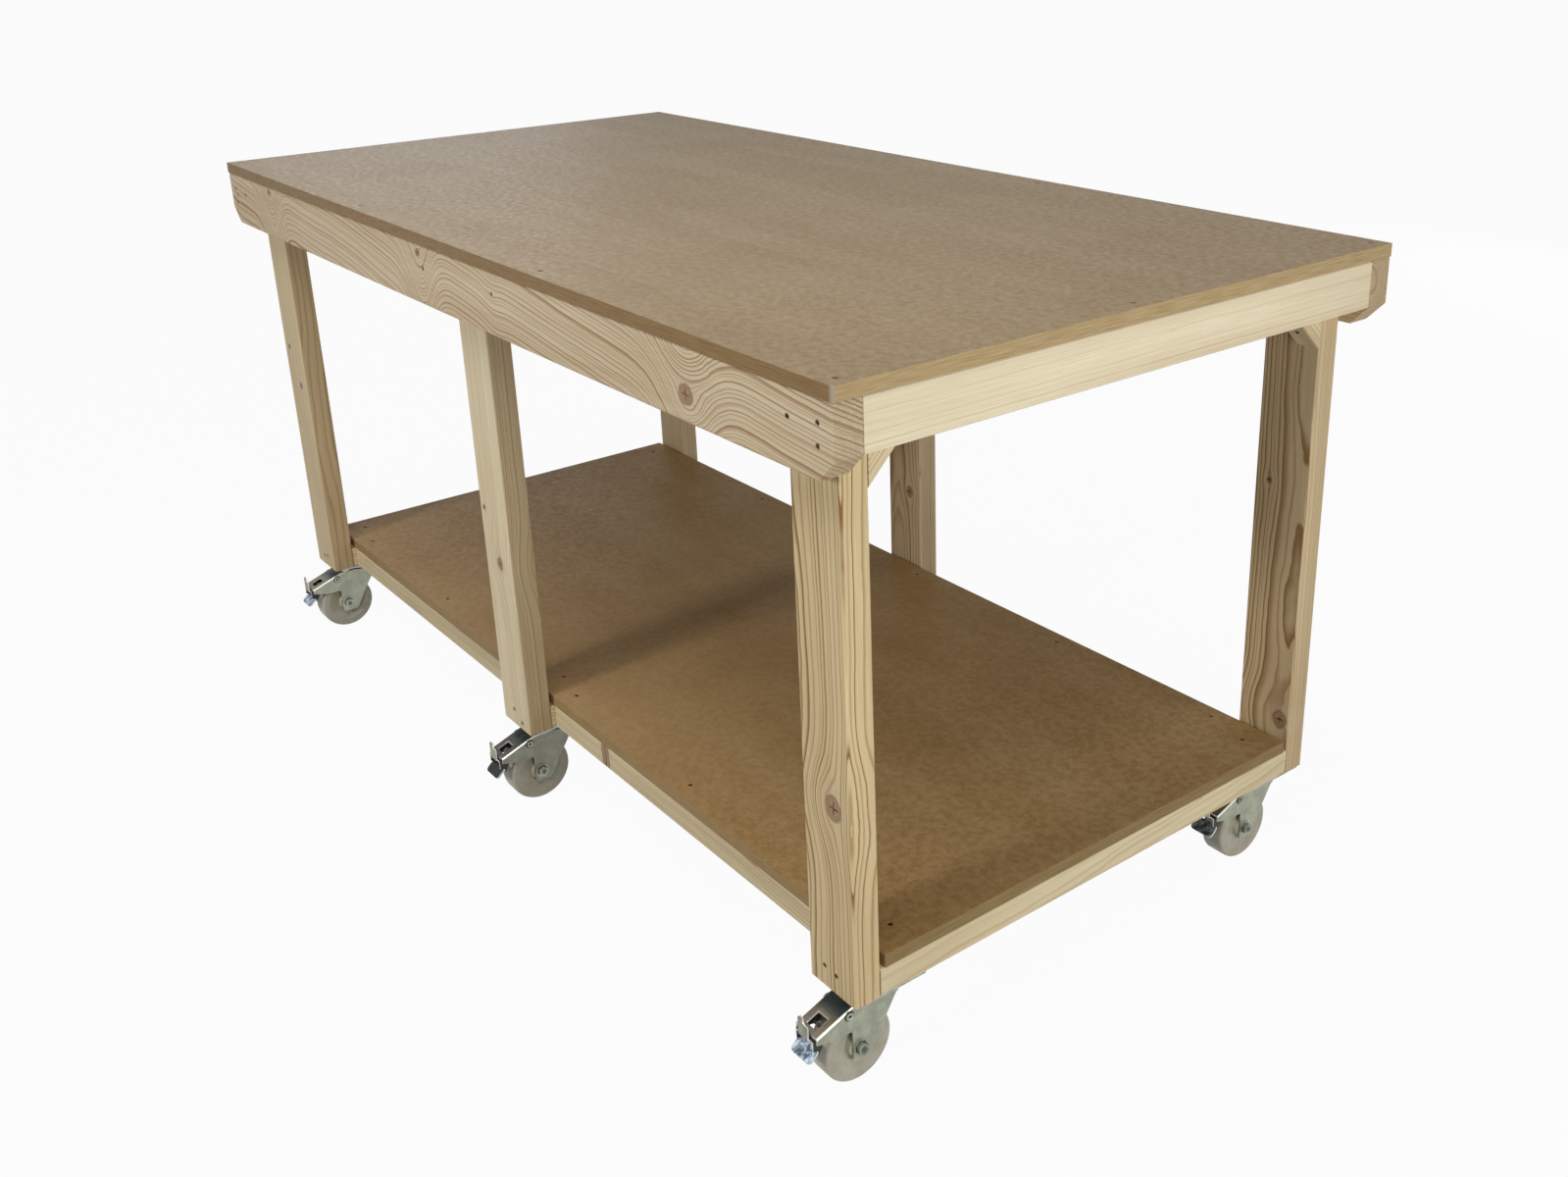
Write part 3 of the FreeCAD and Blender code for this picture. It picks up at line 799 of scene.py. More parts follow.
@dataclass(frozen=True)
class Nylon:
    """Natural nylon, greyed by handling; light bleeds a little way into it."""

    clean: Colour = srgb(186, 182, 165)
    grimy: Colour = srgb(172, 166, 149)
    bleed: Triple = (6.0 * MM, 5.0 * MM, 4.0 * MM)

    def material(self, name: str) -> Material:
        """Build the wheel's material."""
        material, g, shader = shaded(name)
        place, _ = g.surface()
        clouds = place.noise(38.0, 3.0, 0.6)
        specks = place.noise(500.0, 2.0, 0.6)
        colour = g.blend(clouds.ramp(0.35, 0.7), self.clean, self.grimy)
        for socket, value in (("Weight", 0.25), ("Radius", self.bleed), ("Scale", 1.0)):
            shader.inputs[f"Subsurface {socket}"].default_value = value
        covered(g, shader, {
            "Color": colour.coated((srgb(140, 126, 104), specks.ramp(0.62, 0.78, 0.0, 0.15))),
            "Roughness": clouds.ramp(0.3, 0.7, 0.36, 0.5), "Height": specks}, 0.1 * MM, 0.4)
        return material


# ---------------------------------------------------------------- fasteners

@dataclass(frozen=True)
class ScrewPlace:
    """Where a wood screw goes in: a point on the surface, metres, and the way it points."""

    point: Triple
    into: Triple


@dataclass
class WoodScrews:
    """Countersunk wood screws, each sunk in its own hole."""

    places: list[ScrewPlace] = field(default_factory=list)
    hole_radius: float = 3.7 * MM
    hole_depth: float = 2.6 * MM
    head_radius: float = 3.5 * MM
    head_sunk: float = 1.1 * MM
    recess_width: float = 1.1 * MM
    recess_length: float = 4.2 * MM
    recess_depth: float = 1.4 * MM
    twist: float = 0.7
    vertices: int = 20

    def drill(self, piece: Piece, places: Sequence[ScrewPlace]) -> None:
        """Cut the countersinks into a piece and remember the places."""
        cutters = []
        for place in places:
            point, into = Vector(place.point), Vector(place.into).normalized()
            cutters.append(turned_rod("countersink", self.hole_radius,
                                      (point - into * MM, point + into * self.hole_depth),
                                      self.vertices, self.head_radius * 0.98))
        subtract(piece, join(cutters, "countersinks"))
        self.places.extend(places)

    def _head(self) -> Piece:
        """One screw head with its cross recess, pointing down from the origin."""
        head = turned_rod("screw_head", self.head_radius,
                          (Vector((0, 0, 0)), Vector((0, 0, -self.hole_depth))), self.vertices,
                          self.head_radius * 0.6)
        soften(head, 0.2 * MM, 2, 50.0)
        top, bottom = MM, -self.recess_depth
        for sides in ((self.recess_width, self.recess_length),
                      (self.recess_length, self.recess_width)):
            clear_selection()
            bpy.ops.mesh.primitive_cube_add(size=1.0, location=(0, 0, (bottom + top) / 2),
                                            scale=(*sides, top - bottom))
            subtract(head, just_added("recess"))
        return head

    def build(self, name: str, finish: Material) -> Piece:
        """Model one head, copy it to every place and join the copies."""
        head = self._head()
        heads = []
        for index, place in enumerate(self.places):
            into = Vector(place.into).normalized()
            turn = Vector((0, 0, -1)).rotation_difference(into).to_matrix().to_4x4()
            twist = Matrix.Rotation(self.twist * index, 4, "Z")
            move = Matrix.Translation(Vector(place.point) + into * self.head_sunk)
            heads.append(copied(head, f"{name}_{index}", move @ turn @ twist))
        bpy.data.objects.remove(head)
        joined = join(heads, name)
        smooth(joined, 30.0)
        return fit(joined, "table", Slot.ZINC, finish)


# ---------------------------------------------------------------- boards and timber

def middle_of(node: str) -> Vector:
    """The middle of a CAD node's box."""
    low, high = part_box(node)
    return (low + high) / 2


@dataclass
class Boards:
    """The worktop and the shelf board."""

    effects: Effects
    screws: WoodScrews
    rounded: float = 0.6 * MM
    top_inset: float = 20.0 * MM
    top_stations: tuple[float, ...] = (-0.325, 0.277)
    end_screws: Pair = (-8 * MM, -13 * MM)
    shelf_screws: tuple[Pair, ...] = (
        (84, 125), (163, 109), (511, 109), (914, 126.6), (983, 112), (1320, 109), (1744, 126),
        (86, 788), (165, 803), (487, 809), (984, 808), (1343, 808), (1668.5, 809), (1742, 790))
    dent_ends: tuple[Triple, ...] = ((1.2, 196.0, 2.0), (-3.0, 202.0, 4.0))

    def _top_places(self) -> list[ScrewPlace]:
        """Screws along both long edges and in the middle of the ends of the worktop."""
        low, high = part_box("worktop")
        stations = (low.x + self.top_inset, *self.top_stations, high.x - self.top_inset)
        places = [(x, y) for x in stations
                  for y in (low.y + self.top_inset, high.y - self.top_inset)]
        middle = (low.y + high.y) / 2
        places += [(x, middle + off) for x, off in zip(stations[::3], self.end_screws)]
        return [ScrewPlace((x, y, high.z), (0, 0, -1)) for x, y in places]

    def _shelf_places(self) -> list[ScrewPlace]:
        """Screws of the shelf, measured from the worktop's left front corner."""
        low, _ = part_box("worktop")
        _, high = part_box("shelf_board")
        return [ScrewPlace((low.x + x * MM, low.y + y * MM, high.z), (0, 0, -1))
                for x, y in self.shelf_screws]

    def _dent(self) -> Piece:
        """What dented the worktop's right edge, measured from its upper front corner."""
        low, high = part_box("worktop")
        near, far = (Vector((high.x + x * MM, low.y + y * MM, high.z + z * MM))
                     for x, y, z in self.dent_ends)
        return turned_rod("dent", 2.5 * MM, (near, far), 12, 0.5 * MM)

    def build(self) -> None:
        """Round, drill and dress both boards."""
        low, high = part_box("worktop")
        paled = Fibreboard(paled_corner=(high.x, low.y, (low.z + high.z) / 2))
        shelf = Fibreboard(srgb(172, 141, 95), 3.7, 0.45, srgb(174, 148, 106),
                           srgb(156, 134, 94), gloss=0.05)
        for node, name, finish, look, places in (
                ("worktop", "worktop_board", "worktop_fibreboard", paled, self._top_places()),
                ("shelf_board", "shelf_fibreboard", "shelf_fibreboard", shelf,
                 self._shelf_places())):
            board = cad_copy(node, name)
            soften(board, self.rounded)
            if node == "worktop":
                subtract(board, self._dent())
            self.screws.drill(board, places)
            smooth(board)
            fit(board, "table", Slot.MDF, look.material(finish, self.effects), stands_for=[node])


@dataclass
class Timber:
    """Every plank of the frame."""

    effects: Effects
    screws: WoodScrews
    rounded: float = 0.9 * MM
    rail_screws: tuple[Pair, ...] = ((836.8, 32.0), (888.5, 26.0), (887.6, 51.0))
    rail_middle_screw: Pair = (-59.0, 33.6)
    brace_screw: float = 26.0 * MM
    planks: dict[str, Pine] = field(default_factory=dict)

    def __post_init__(self) -> None:
        """Say how each plank was cut."""
        pale, tan = srgb(234, 220, 184), srgb(180, 148, 104)
        leg, rim = Grain.HEIGHT, Grain.LENGTH_FLAT
        self.planks = {
            "front_rail": Pine(
                Grain.LENGTH_UPRIGHT, (-200, 190), (-0.13, 0.0), 5.4, 9, srgb(226, 211, 181),
                srgb(158, 118, 80), 1.0, (
                    Knot(643, -10.5, 12, 62, 62), Knot(-72, 32, 6, 72, 48),
                    Knot(164, 15.5, 3, 6, 30), Knot(-702, 36, 5, 78, 46), Knot(-880, 8, 4))),
            "back_rail": Pine(
                Grain.LENGTH_UPRIGHT, (8, 40), (0.01, -0.015), 3.6, 12,
                knots=(Knot(-310, 10, 11), Knot(420, -15, 8), Knot(690, 18, 7))),
            "right_end_rail": Pine(
                Grain.WIDTH_UPRIGHT, (-330, 30), (0.0, 0.0), 1.7, 1, srgb(252, 243, 214),
                srgb(208, 186, 142), 0.8),
            "left_end_rail": Pine(
                Grain.WIDTH_UPRIGHT, (-90, 80), (0.02, 0.0), 3.0, 7, pale, tan, 0.8,
                (Knot(120, 8, 8),)),
            "front_right_leg": Pine(
                leg, (-62, 66), (0.004, 0.006), 4.6, 7, srgb(232, 213, 168), srgb(150, 106, 60),
                1.0, (Knot(-123, 14, 14, 17, 60),)),
            "front_middle_leg": Pine(
                leg, (90, 60), (-0.01, 0.004), 3.4, 6, srgb(252, 240, 207), srgb(187, 156, 112),
                # The last three figures are painted shade on this leg's narrow sides.
                0.7, (Knot(-102, 4, 9, 16, 50), Knot(-20, -30, 4)), (0.58, 0.53, 0.46)),
            "front_left_leg": Pine(
                leg, (-110, -50), (0.006, 0.0), 3.6, 7, srgb(242, 226, 188), srgb(168, 132, 90),
                # The last three figures are painted shade on this leg's narrow sides.
                0.8, (Knot(60, -20, 5), Knot(-10, 12, 6)), (0.66, 0.60, 0.54)),
            "back_right_leg": Pine(
                leg, (40, 90), (0.008, -0.005), 3.7, 9, srgb(222, 203, 164), srgb(144, 104, 62),
                1.0, (Knot(-300, 28, 12, 12, 50), Knot(60, -20, 5))),
            "back_middle_leg": Pine(
                leg, (-20, 70), (0.006, 0.01), 3.8, 8, contrast=1.0,
                knots=(Knot(-190, 14, 9), Knot(182, 16, 11, 30, 60))),
            "back_left_leg": Pine(leg, (70, 80), (0.0, 0.006), 3.4, 7),
            "left_shelf_bearer": Pine(
                Grain.WIDTH_FLAT, (60, 90), (0.01, 0.0), 3.2, 8, pale, tan),
            "middle_shelf_bearer": Pine(
                Grain.WIDTH_FLAT, (-50, 60), (0.0, 0.01), 3.6, 8, pale, tan),
            "right_shelf_bearer": Pine(
                Grain.WIDTH_FLAT, (-160, 40), (0.015, 0.0), 3.0, 7, srgb(238, 226, 190),
                srgb(198, 168, 122), 0.45),
            "shelf_rim_front_left": Pine(rim, (70, 80), (0.01, 0.01), 3.0, 8, pale, tan, 0.7),
            "shelf_rim_front_right": Pine(
                rim, (50, -70), (0.012, 0.0), 3.2, 9, pale, tan, 0.75, (Knot(-210, -28, 9),)),
            "shelf_rim_back_left": Pine(rim, (-60, 60), (0.0, 0.01), 3.4, 8, pale, tan),
            "shelf_rim_back_right": Pine(rim, (80, 50), (0.01, 0.0), 3.4, 8, pale, tan),
        }
        for end in ("left", "right"):
            for side, grain, through in (("front", Grain.RISING_BACK, 60),
                                         ("back", Grain.RISING_FRONT, -60)):
                self.planks[f"{side}_{end}_brace"] = Pine(
                    grain, (50, through), (0.0, 0.0), 3.2, 4, pale, tan, 0.7)

    def _outer(self, node: str) -> Pair:
        """Where a front or back plank's outer side is, and which way along Y goes into it."""
        low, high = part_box(node)
        return (low.y, 1.0) if node.startswith("front") else (high.y, -1.0)

    def _rail_places(self, node: str) -> list[ScrewPlace]:
        """Screws through a long rail into the legs and end rails."""
        outer, into = self._outer(node)
        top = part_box(node)[1].z
        places = [(sign * x, drop) for sign in (-1.0, 1.0) for x, drop in self.rail_screws]
        return [ScrewPlace((x * MM, outer, top - drop * MM), (0, into, 0))
                for x, drop in (*places, self.rail_middle_screw)]

    def _leg_places(self, node: str) -> list[ScrewPlace]:
        """Screws through a leg into the shelf bearer behind it."""
        outer, into = self._outer(node)
        offsets = {"left": ((-9.0, 149.0), (8.5, 152.0)), "middle": ((-6.6, 157.0), (18.6, 142.0)),
                   "right": ((-15.2, 159.0), (7.5, 156.5))}[node.split("_")[1]]
        return [ScrewPlace((middle_of(node).x + x * MM, outer, z * MM), (0, into, 0))
                for x, z in offsets]

    def _brace_places(self, node: str) -> list[ScrewPlace]:
        """Screws through a brace's underside, one into the leg and one into the worktop."""
        low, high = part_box(node)
        outer, into = self._outer(node)
        far = (high.y - low.y) - self.brace_screw
        return [ScrewPlace((middle_of(node).x, outer + into * along, z), way)
                for along, z, way in ((self.brace_screw, low.z + self.brace_screw, (0, -into, 0)),
                                      (far, high.z - self.brace_screw, (0, 0, 1)))]

    def build(self) -> None:
        """Round, drill and dress every plank."""
        drilled = {"front_rail": self._rail_places, "back_rail": self._rail_places,
                   "_leg": self._leg_places, "_brace": self._brace_places}
        for index, (node, cut) in enumerate(self.planks.items()):
            plank = cad_copy(node, f"{node}_plank")
            soften(plank, self.rounded)
            for ending, places in drilled.items():
                if node.endswith(ending):
                    self.screws.drill(plank, places(node))
            smooth(plank)
            finish = cut.material(f"{node}_pine", middle_of(node), self.effects, 3.1 * index + 1.0)
            fit(plank, "table", Slot.PINE, finish, stands_for=[node])


# ---------------------------------------------------------------- castors

@dataclass
class Castor:
    """The braked swivel castor, modelled once and copied to its six places.

    Lengths are in metres; the king pin's axis is x = y = 0 and the wheel trails to -Y. The
    axle, the spring's pin and the brake's rivet run along X, and each is given as (y, z).
    """

    effects: Effects
    wheel_radius: float = 50.0 * MM
    wheel_width: float = 36.0 * MM
    axle: Pair = (-40.0 * MM, 50.0 * MM)
    bore_radius: float = 6.1 * MM
    hub_radius: float = 15.0 * MM
    hub_wall: float = 2.0 * MM
    dish_radius: float = 37.0 * MM
    dish_depth: float = 7.0 * MM
    hub_proud: float = 0.7 * MM
    tread_round: float = 4.5 * MM
    pin: Pair = (-86.0 * MM, 93.3 * MM)
    pin_radius: float = 2.1 * MM
    pin_half: float = 15.6 * MM
    coil_radius: float = 4.4 * MM
    coil_wire: float = 0.9 * MM
    coil_turns: int = 3
    coil_pitch: float = 2.15 * 0.9 * MM
    fork_half: float = 21.5 * MM
    rivet: Pair = (-55.99 * MM, 103.98 * MM)
    rivet_ring: float = 7.0 * MM
    rivet_ring_thick: float = 0.7 * MM
    rivet_head: float = 4.6 * MM
    rivet_proud: float = 2.6 * MM
    rivet_dimple: tuple[Pair, ...] = ((1.7 * MM, 0.0), (0.5 * MM, -0.6 * MM))
    thread_radius: float = 3.9 * MM
    thread_proud: float = 0.8 * MM
    thread_sunk: float = 1.0 * MM
    thread_dimple: tuple[Pair, ...] = ((0.8 * MM, 0.0), (0.6 * MM, -0.4 * MM))
    axle_head: float = 5.5 * MM
    axle_nut: float = 7.0 * MM
    washer_radius: float = 10.8 * MM
    washer_bore: float = 8.9 * MM
    washer_thick: float = 1.2 * MM
    window_half: float = 9.75 * MM
    window_ends: Pair = (-97.0 * MM, -78.0 * MM)
    window_low: float = 88.0 * MM
    window_edge: float = 0.7 * MM
    hood_end_y: float = -104.0 * MM
    pedal_top: float = 86.0 * MM
    tab_low: float = 93.0 * MM
    pedal_slope_deg: float = 42.0

    def _wheel(self) -> Piece:
        """The wheel: a drum with dished sides, a hub and a rounded tread."""
        half = self.wheel_width / 2
        centre = Vector((0, *self.axle))
        wheel = turned_rod("wheel", self.wheel_radius,
                           (centre - Vector((half, 0, 0)), centre + Vector((half, 0, 0))), 96)
        for side in (-1.0, 1.0):
            inset(wheel, side, (self.wheel_radius - self.dish_radius, 0.0),
                  (self.dish_radius - self.hub_radius - self.hub_wall, -self.dish_depth),
                  (self.hub_wall, self.dish_depth + self.hub_proud),
                  (self.hub_radius - self.bore_radius, 0.0))
        with editing(wheel):
            far = half + self.hub_proud * 0.5
            pick(wheel, "FACE", lambda face: abs(face.normal.x) > FLAT_ON and len(face.verts) > 8
                 and abs(face.calc_center_median().x) > far)
            bpy.ops.mesh.bridge_edge_loops()
        rings = (self.bore_radius, self.hub_radius, self.hub_radius + self.hub_wall,
                 self.dish_radius)
        for radii, width, steps in ((rings, 0.8 * MM, 3),
                                    ((self.wheel_radius,), self.tread_round, 6)):
            def on_ring(edge: bmesh.types.BMEdge, wanted: tuple[float, ...] = radii) -> bool:
                """Whether an edge runs round the wheel at one of the wanted radii."""
                one, two = (vert.co - centre for vert in edge.verts)
                away = one.yz.length
                return (abs(one.x - two.x) < 1e-6 and abs(away - two.yz.length) < 1e-5
                        and any(abs(away - radius) < 1e-4 for radius in wanted))
            with editing(wheel):
                pick(wheel, "EDGE", on_ring)
                bpy.ops.mesh.bevel(offset=width, segments=steps, affect="EDGES")
        smooth(wheel)
        return wheel

    def _spring(self) -> Piece:
        """The brake's return spring, a coil wound on its pin."""
        clear_selection()
        bpy.ops.mesh.primitive_circle_add(vertices=10, radius=self.coil_wire,
                                          location=(0, self.coil_radius, 0),
                                          rotation=(0, math.pi / 2, 0))
        coil = just_added("coil")
        modified(coil, "SCREW", axis="X", angle=math.tau, steps=20, render_steps=20,
                 screw_offset=self.coil_pitch, iterations=self.coil_turns)
        with editing(coil):
            bpy.ops.mesh.select_mode(type="EDGE")
            bpy.ops.mesh.select_non_manifold()
            bpy.ops.mesh.edge_face_add()
            bpy.ops.mesh.select_all(action="SELECT")
            bpy.ops.mesh.normals_make_consistent(inside=False)
        start = -self.coil_pitch * self.coil_turns / 4
        coil.data.transform(Matrix.Translation((start, *self.pin)))
        centre = Vector((0, *self.pin))
        reach = Vector((self.pin_half, 0, 0))
        pin = turned_rod("pin", self.pin_radius, (centre - reach, centre + reach), 24)
        spring = join([coil, pin], "spring")
        paint(spring, lambda place, _: int((place - centre).yz.length < 1.1 * self.pin_radius))
        smooth(spring)
        return spring

    def _stud(self, name: str, side: float, place: Pair, radius: float,
              length: float, vertices: int, lift: float = 0.0) -> Piece:
        """A short rod that stands out from a side plate of the fork.

        Args:
            name: Object name.
            side: -1 for the left plate, 1 for the right one.
            place: Its place (y, z).
            radius: Its radius.
            length: Its length.
            vertices: Its number of sides.
            lift: How far from the plate it starts.

        Returns:
            The rod.
        """
        start = Vector((side * (self.fork_half + lift), *place))
        return turned_rod(name, radius, (start, start + Vector((side * length, 0, 0))), vertices)

    def _collars(self, name: str, place: Pair, outer: float, inner: float,
                 thick: float) -> Piece:
        """Two flat rings, one on each side plate of the fork, about a place (y, z)."""
        def collar(side: float) -> Piece:
            """One of them, its edges rounded."""
            ring = self._stud(name, side, place, outer, thick, 40)
            with editing(ring):
                pick(ring, "FACE", lambda face: abs(face.normal.x) > FLAT_ON)
                bpy.ops.mesh.inset(thickness=outer - inner)
                bpy.ops.mesh.bridge_edge_loops()
            soften(ring, 0.25 * MM, 2, 50.0)
            return ring
        return both_sides(name, collar)

    def _rivet_head(self, side: float) -> Piece:
        """A domed head of the rivet that the brake lever turns on."""
        head = self._stud("rivet_head", side, self.rivet, self.rivet_head, self.rivet_proud, 32)
        inset(head, side, *self.rivet_dimple)
        soften(head, 0.4 * MM, 3, 40.0)
        return head

    def _axle_end(self, side: float) -> Piece:
        """The end of the bolt's thread in its nut, on the right, or the dimple in its head."""
        height = self.axle_nut if side > 0 else self.axle_head
        end = self._stud("thread_end", side, self.axle, self.thread_radius,
                         self.thread_sunk + self.thread_proud, 24, height - self.thread_sunk)
        inset(end, side, *self.thread_dimple)
        return end

    def _paint_fork(self, fork: Piece, king: Vector) -> None:
        """Bare metal with a painted highlight on the cut edges of the hood: 1 on the fork's list.
        """
        def cut_edge(place: Vector, normal: Vector) -> int:
            """1 for a face in the window or at the end of the hood, else 0."""
            far, near = self.window_ends
            edge = self.window_edge
            in_window = (abs(place.x) < self.window_half + edge
                         and far - edge < place.y < near + edge
                         and normal.z < 0.6 and place.z > self.window_low)
            return int(in_window or place.y < self.hood_end_y + 0.3 * MM)
        paint(fork, cut_edge, king)

    def _paint_brake(self, brake: Piece, king: Vector) -> None:
        """Channel in painted shade 0, tab 1, foot plate 2, cut edges of bare metal with a painted
        highlight 3 on the brake's list.
        """
        slope = math.radians(self.pedal_slope_deg)
        flat = Vector((0.0, -math.sin(slope), math.cos(slope)))

        def part(place: Vector, normal: Vector) -> int:
            """Which part of the lever a face is on."""
            if place.z > self.pedal_top:
                rim = place.z > self.tab_low and abs(normal.y) < 0.75
                return (3 if rim else 1) if place.y < self.hood_end_y - 0.5 * MM else 0
            rim = abs(normal.dot(flat)) < 0.8
            return (3 if rim else 2) if place.y < self.hood_end_y + 3.6 * MM else 0
        paint(brake, part, king)

    def _finishes(self) -> dict[str, Material]:
        """The castor's finishes by name."""
        # Near white: a painted highlight for the fork's turned-over edges.
        turned_edge_highlight = srgb(236, 234, 222)
        plated = {
            # The fork's faces that look up are given painted shade; the middle castors use darker
            # shaded copies, also painted shade.
            "fork_zinc": Zinc(upward_painted_shade=srgb(128, 120, 104), turned_edge_highlight=turned_edge_highlight),
            "shaded_fork_zinc": Zinc(srgb(136, 135, 122), srgb(118, 118, 106), srgb(84, 80, 74),
                                     turned_edge_highlight=turned_edge_highlight),
            # Cut edges of the sheet: bare metal, painted near white as a highlight.
            "cut_edge_zinc": Zinc(srgb(240, 240, 234), srgb(222, 224, 216), metallic=0.2),
            # The lever's channel, seen through the hood's window, is painted near black as shade.
            "lever_channel_zinc": Zinc(srgb(36, 37, 35), srgb(20, 21, 20), metallic=0.3),
            "release_tab_zinc": Zinc(srgb(150, 154, 138), srgb(112, 118, 104)),
            "foot_plate_zinc": Zinc(srgb(186, 200, 214), srgb(78, 92, 106), metallic=0.8,
                                    mottle=0.9, scale=2.2),
            "shaded_foot_plate_zinc": Zinc(srgb(40, 45, 44), srgb(26, 29, 29), metallic=0.5,
                                           mottle=0.3),
            "bolt_zinc": Zinc(srgb(168, 171, 156), srgb(122, 126, 112), metallic=0.8),
            "thread_end_zinc": Zinc(srgb(108, 112, 104), srgb(80, 84, 78), metallic=0.5),
            "rivet_ring_zinc": Zinc(srgb(44, 45, 41), srgb(28, 29, 26), metallic=0.3),
            "plate_zinc": Zinc(srgb(186, 188, 180), srgb(150, 153, 144)),
            "spring_wire": Zinc(srgb(238, 238, 234), srgb(210, 210, 206), metallic=0.95,
                                mottle=0.05),
        }
        finishes = {name: look.material(name, self.effects) for name, look in plated.items()}
        finishes["wheel_nylon"] = Nylon().material("wheel_nylon")
        return finishes

    def _patterns(self, king: Vector) -> dict[str, Piece]:
        """The pieces shown in place of CAD nodes, as they are on the front left castor."""
        patterns = {}
        for part, width in (("fork", 0.45), ("brake", 0.4), ("axle", 0.8), ("plate", 0.4)):
            patterns[part] = cad_copy(f"front_left_castor_{part}", f"pattern_{part}")
            soften(patterns[part], width * MM, 2, 25.0)
            smooth(patterns[part], 35.0)
        self._paint_fork(patterns["fork"], king)
        self._paint_brake(patterns["brake"], king)
        patterns["wheel"] = self._wheel()
        patterns["wheel"].data.transform(Matrix.Translation(king))
        return patterns

    def _extras(self, king: Vector) -> dict[str, Piece]:
        """The small trim that no CAD node stands for."""
        extras = {
            "brake_spring": self._spring(),
            "rivet_rings": self._collars("rivet_rings", self.rivet, self.rivet_ring,
                                         self.rivet_head, self.rivet_ring_thick),
            "rivet_heads": both_sides("rivet_heads", self._rivet_head),
            "axle_washers": self._collars("washers", self.axle, self.washer_radius,
                                          self.washer_bore, self.washer_thick),
            "axle_ends": both_sides("axle_ends", self._axle_end),
        }
        for extra in extras.values():
            extra.data.transform(Matrix.Translation(king))
        return extras

    def build(self) -> None:
        """Model the pieces of one castor, then place all six."""
        finishes = self._finishes()
        king = middle_of("front_left_castor_plate") * Vector((1, 1, 0))
        patterns, extras = self._patterns(king), self._extras(king)
        looks = {"axle": "bolt", "axle_ends": "thread_end", "plate": "plate",
                 "rivet_rings": "rivet_ring", "rivet_heads": "bolt", "axle_washers": "plate"}
        looks = {part: f"{look}_zinc" for part, look in looks.items()}
        looks |= {"wheel": "wheel_nylon", "brake_spring": "spring_wire rivet_ring_zinc"}
        riders = {"brake": "brake", "brake_spring": "brake", "wheel": "wheel"}
        for side, station in product(("front", "back"), ("left", "middle", "right")):
            place = f"{side}_{station}"
            shade = "shaded_" if station == "middle" else ""
            looks["fork"] = f"{shade}fork_zinc cut_edge_zinc"
            looks["brake"] = ("lever_channel_zinc release_tab_zinc "
                              f"{shade}foot_plate_zinc cut_edge_zinc")
            move = middle_of(f"{place}_castor_plate") * Vector((1, 1, 0)) - king
            for part, pattern in (patterns | extras).items():
                body = "table" if part == "plate" else f"{place}_{riders.get(part, 'fork')}"
                fit(copied(pattern, f"{place}_{part}", Matrix.Translation(move)), body,
                    Slot.NYLON if part == "wheel" else Slot.ZINC,
                    *(finishes[look] for look in looks[part].split()),
                    stands_for=[f"{place}_castor_{part}"] if part in patterns else ())
        for pattern in (*patterns.values(), *extras.values()):
            bpy.data.objects.remove(pattern)
        dress_node("castor_screws", finishes["plate_zinc"])


# ---------------------------------------------------------------- studio

@dataclass(frozen=True)
class Lamp:
    """A soft rectangular lamp that shines towards a point; lengths in metres."""

    name: str
    place: Triple
    aim: Triple
    size: Pair
    watts: float
    colour: Colour = (1.0, 0.99, 0.97)

    def build(self) -> None:
        """Hang the lamp."""
        data = bpy.data.lights.new(self.name, "AREA")
        data.shape = "RECTANGLE"
        data.size, data.size_y = self.size
        data.energy = self.watts
        data.color = self.colour
        lamp = placed(self.name, data)
        lamp.location = self.place
        way = Vector(self.aim) - Vector(self.place)
        lamp.rotation_euler = way.to_track_quat("-Z", "Y").to_euler()


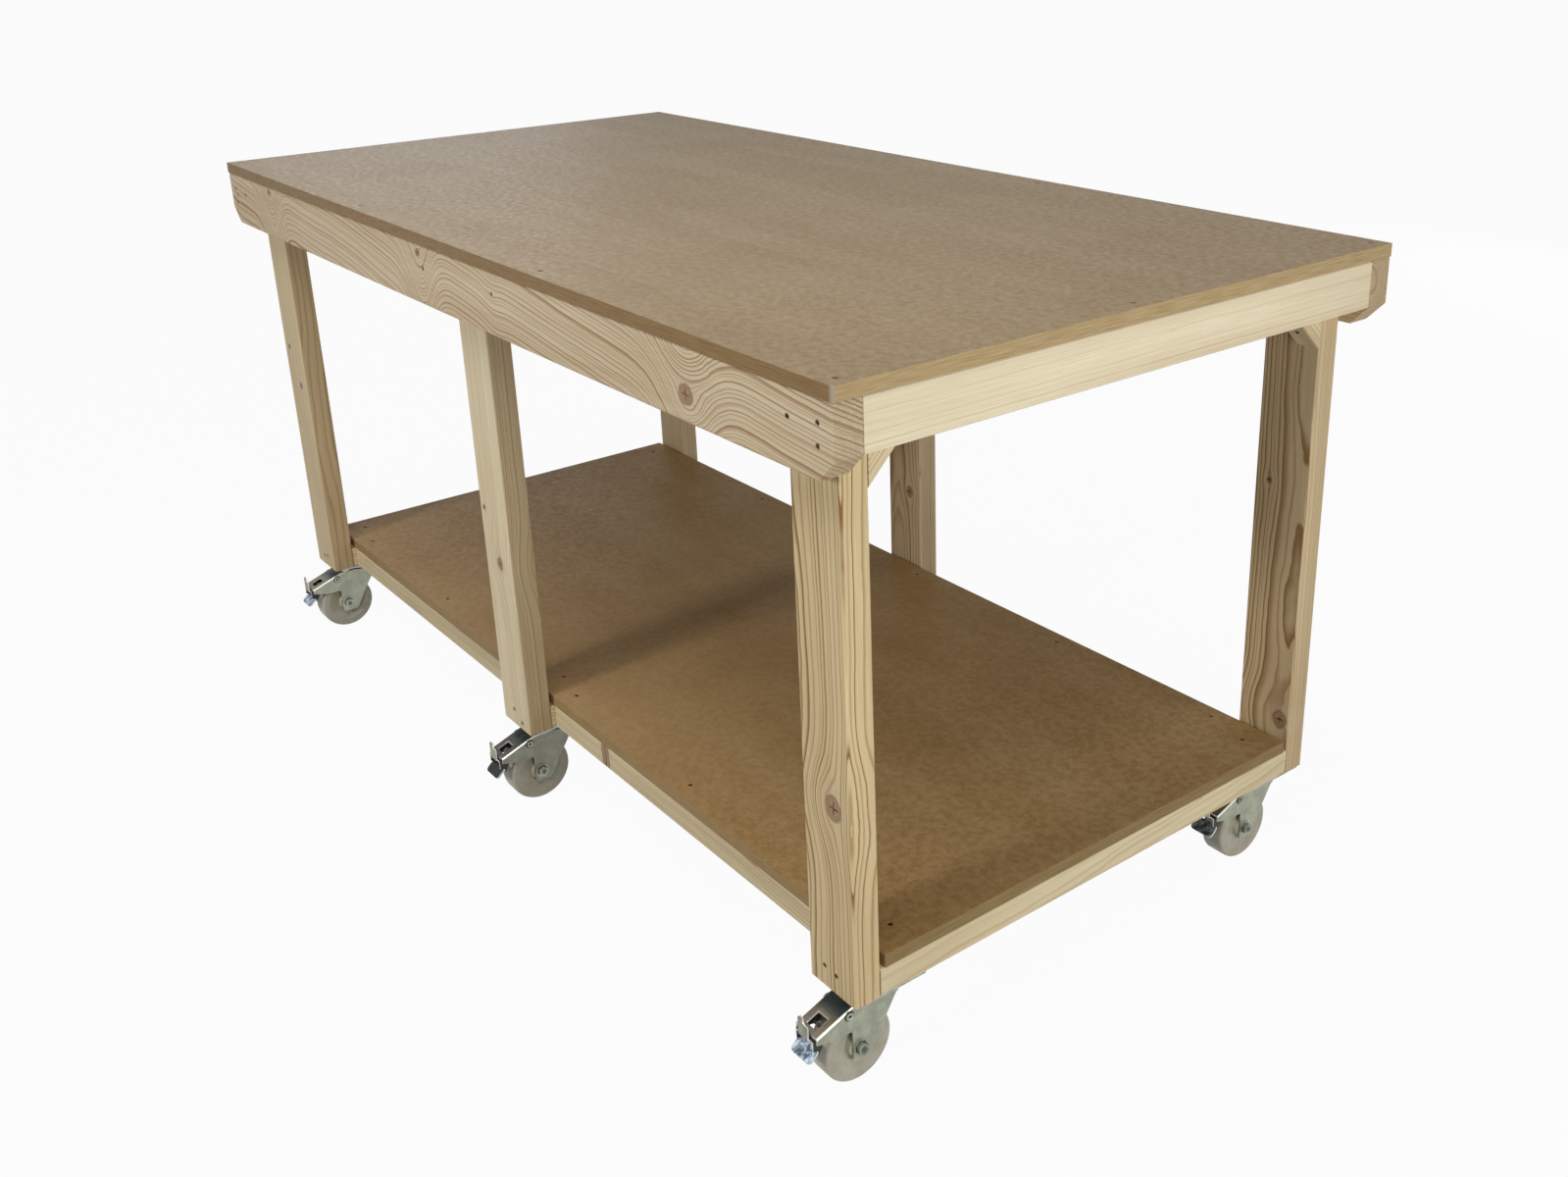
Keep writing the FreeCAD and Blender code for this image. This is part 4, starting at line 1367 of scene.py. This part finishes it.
@dataclass
class Studio:
    """Floor, lights, background and camera."""

    camera_place: Triple = (2.0585, -1.29737, 1.36315)
    camera_right: Triple = (0.62529, 0.78013, -0.02039)
    camera_up: Triple = (-0.26227, 0.23468, 0.93602)
    camera_back: Triple = (0.73500, -0.57993, 0.35135)
    lens: float = 35.66
    shift: Pair = (-0.0602, -0.0762)
    floor_glow: float = 0.96
    lamps: tuple[Lamp, ...] = (
        Lamp("key", (0.47, -4.6, 2.65), (0.0, 0.0, 0.35), (0.9, 0.7), 82.0, (1.0, 0.985, 0.96)),
        Lamp("window", (2.7, -0.1, 0.85), (0.0, 0.0, 0.5), (1.6, 1.0), 24.5),
        Lamp("ceiling", (0.9, -1.2, 3.1), (0.4, -0.5, 0.9), (2.2, 1.8), 51.0),
        Lamp("rear", (0.2, 4.4, 0.8), (0.0, 0.0, 0.6), (3.0, 1.0), 62.0),
        Lamp("far window", (-4.8, 1.46, 1.75), (0.0, 0.0, 0.9), (1.6, 1.0), 10.5,
             (0.92, 0.96, 1.0)))

    def _camera(self) -> None:
        """The camera, level with a person's chest at the table's near corner."""
        data = bpy.data.cameras.new("camera")
        data.lens = self.lens
        data.sensor_width = 36.0
        data.sensor_fit = "HORIZONTAL"
        data.shift_x, data.shift_y = self.shift
        camera = placed("camera", data)
        turn = Matrix((self.camera_right, self.camera_up, self.camera_back)).transposed()
        camera.matrix_world = Matrix.Translation(self.camera_place) @ turn.to_4x4()
        bpy.context.scene.camera = camera

    def _world(self) -> None:
        """White where it is seen or mirrored, and no light on the table otherwise."""
        world = bpy.data.worlds.new("studio")
        world.use_nodes = True
        bpy.context.scene.world = world
        g = Graph(world.node_tree)
        backdrop = world.node_tree.nodes["Background"]
        backdrop.inputs["Color"].default_value = (1.0, 1.0, 1.0, 1.0)
        g.feed(backdrop.inputs["Strength"], g.seen())

    def _floor(self) -> None:
        """A pale floor that keeps the table's soft shadow."""
        clear_selection()
        bpy.ops.mesh.primitive_plane_add(size=60.0, location=(0, 0, 0))
        floor = just_added("floor")
        with editing(floor):
            bpy.ops.mesh.select_all(action="SELECT")
            bpy.ops.mesh.subdivide(number_cuts=3)
        material, g, shader = shaded("pale_floor")
        shader.inputs["Base Color"].default_value = (0.42, 0.42, 0.41, 1.0)
        shader.inputs["Roughness"].default_value = 0.9
        shader.inputs["Specular IOR Level"].default_value = 0.1
        glow = g.run("ShaderNodeEmission", 0, {"Color": (1.0, 1.0, 1.0)})
        mixed = g.run("ShaderNodeMixShader", 0, (g.seen() * self.floor_glow,
                                                 Signal(g, shader.outputs[0]), glow))
        g.feed(material.node_tree.nodes["Material Output"].inputs["Surface"], mixed)
        floor.data.materials.append(material)

    def build(self) -> None:
        """Set the studio up."""
        self._camera()
        self._world()
        self._floor()
        for lamp in self.lamps:
            lamp.build()
        bpy.context.scene.view_settings.view_transform = "Standard"
        log.info("studio ready")


# ---------------------------------------------------------------- the table


def main() -> None:
    """Build the table's looks, piece by piece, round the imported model."""
    logging.basicConfig(level=logging.INFO, format="%(name)s: %(message)s")
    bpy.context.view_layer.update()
    effects = Effects()
    Studio().build()
    board_screws, timber_screws = WoodScrews(), WoodScrews()
    Boards(effects, board_screws).build()
    Timber(effects, timber_screws).build()
    dark = Zinc(srgb(96, 88, 74), srgb(58, 52, 44), metallic=0.6).material("screw_steel", effects)
    board_screws.build("board_screws", dark)
    timber_screws.build("frame_screws", dark)
    Castor(effects).build()


if __name__ == "__main__":
    main()
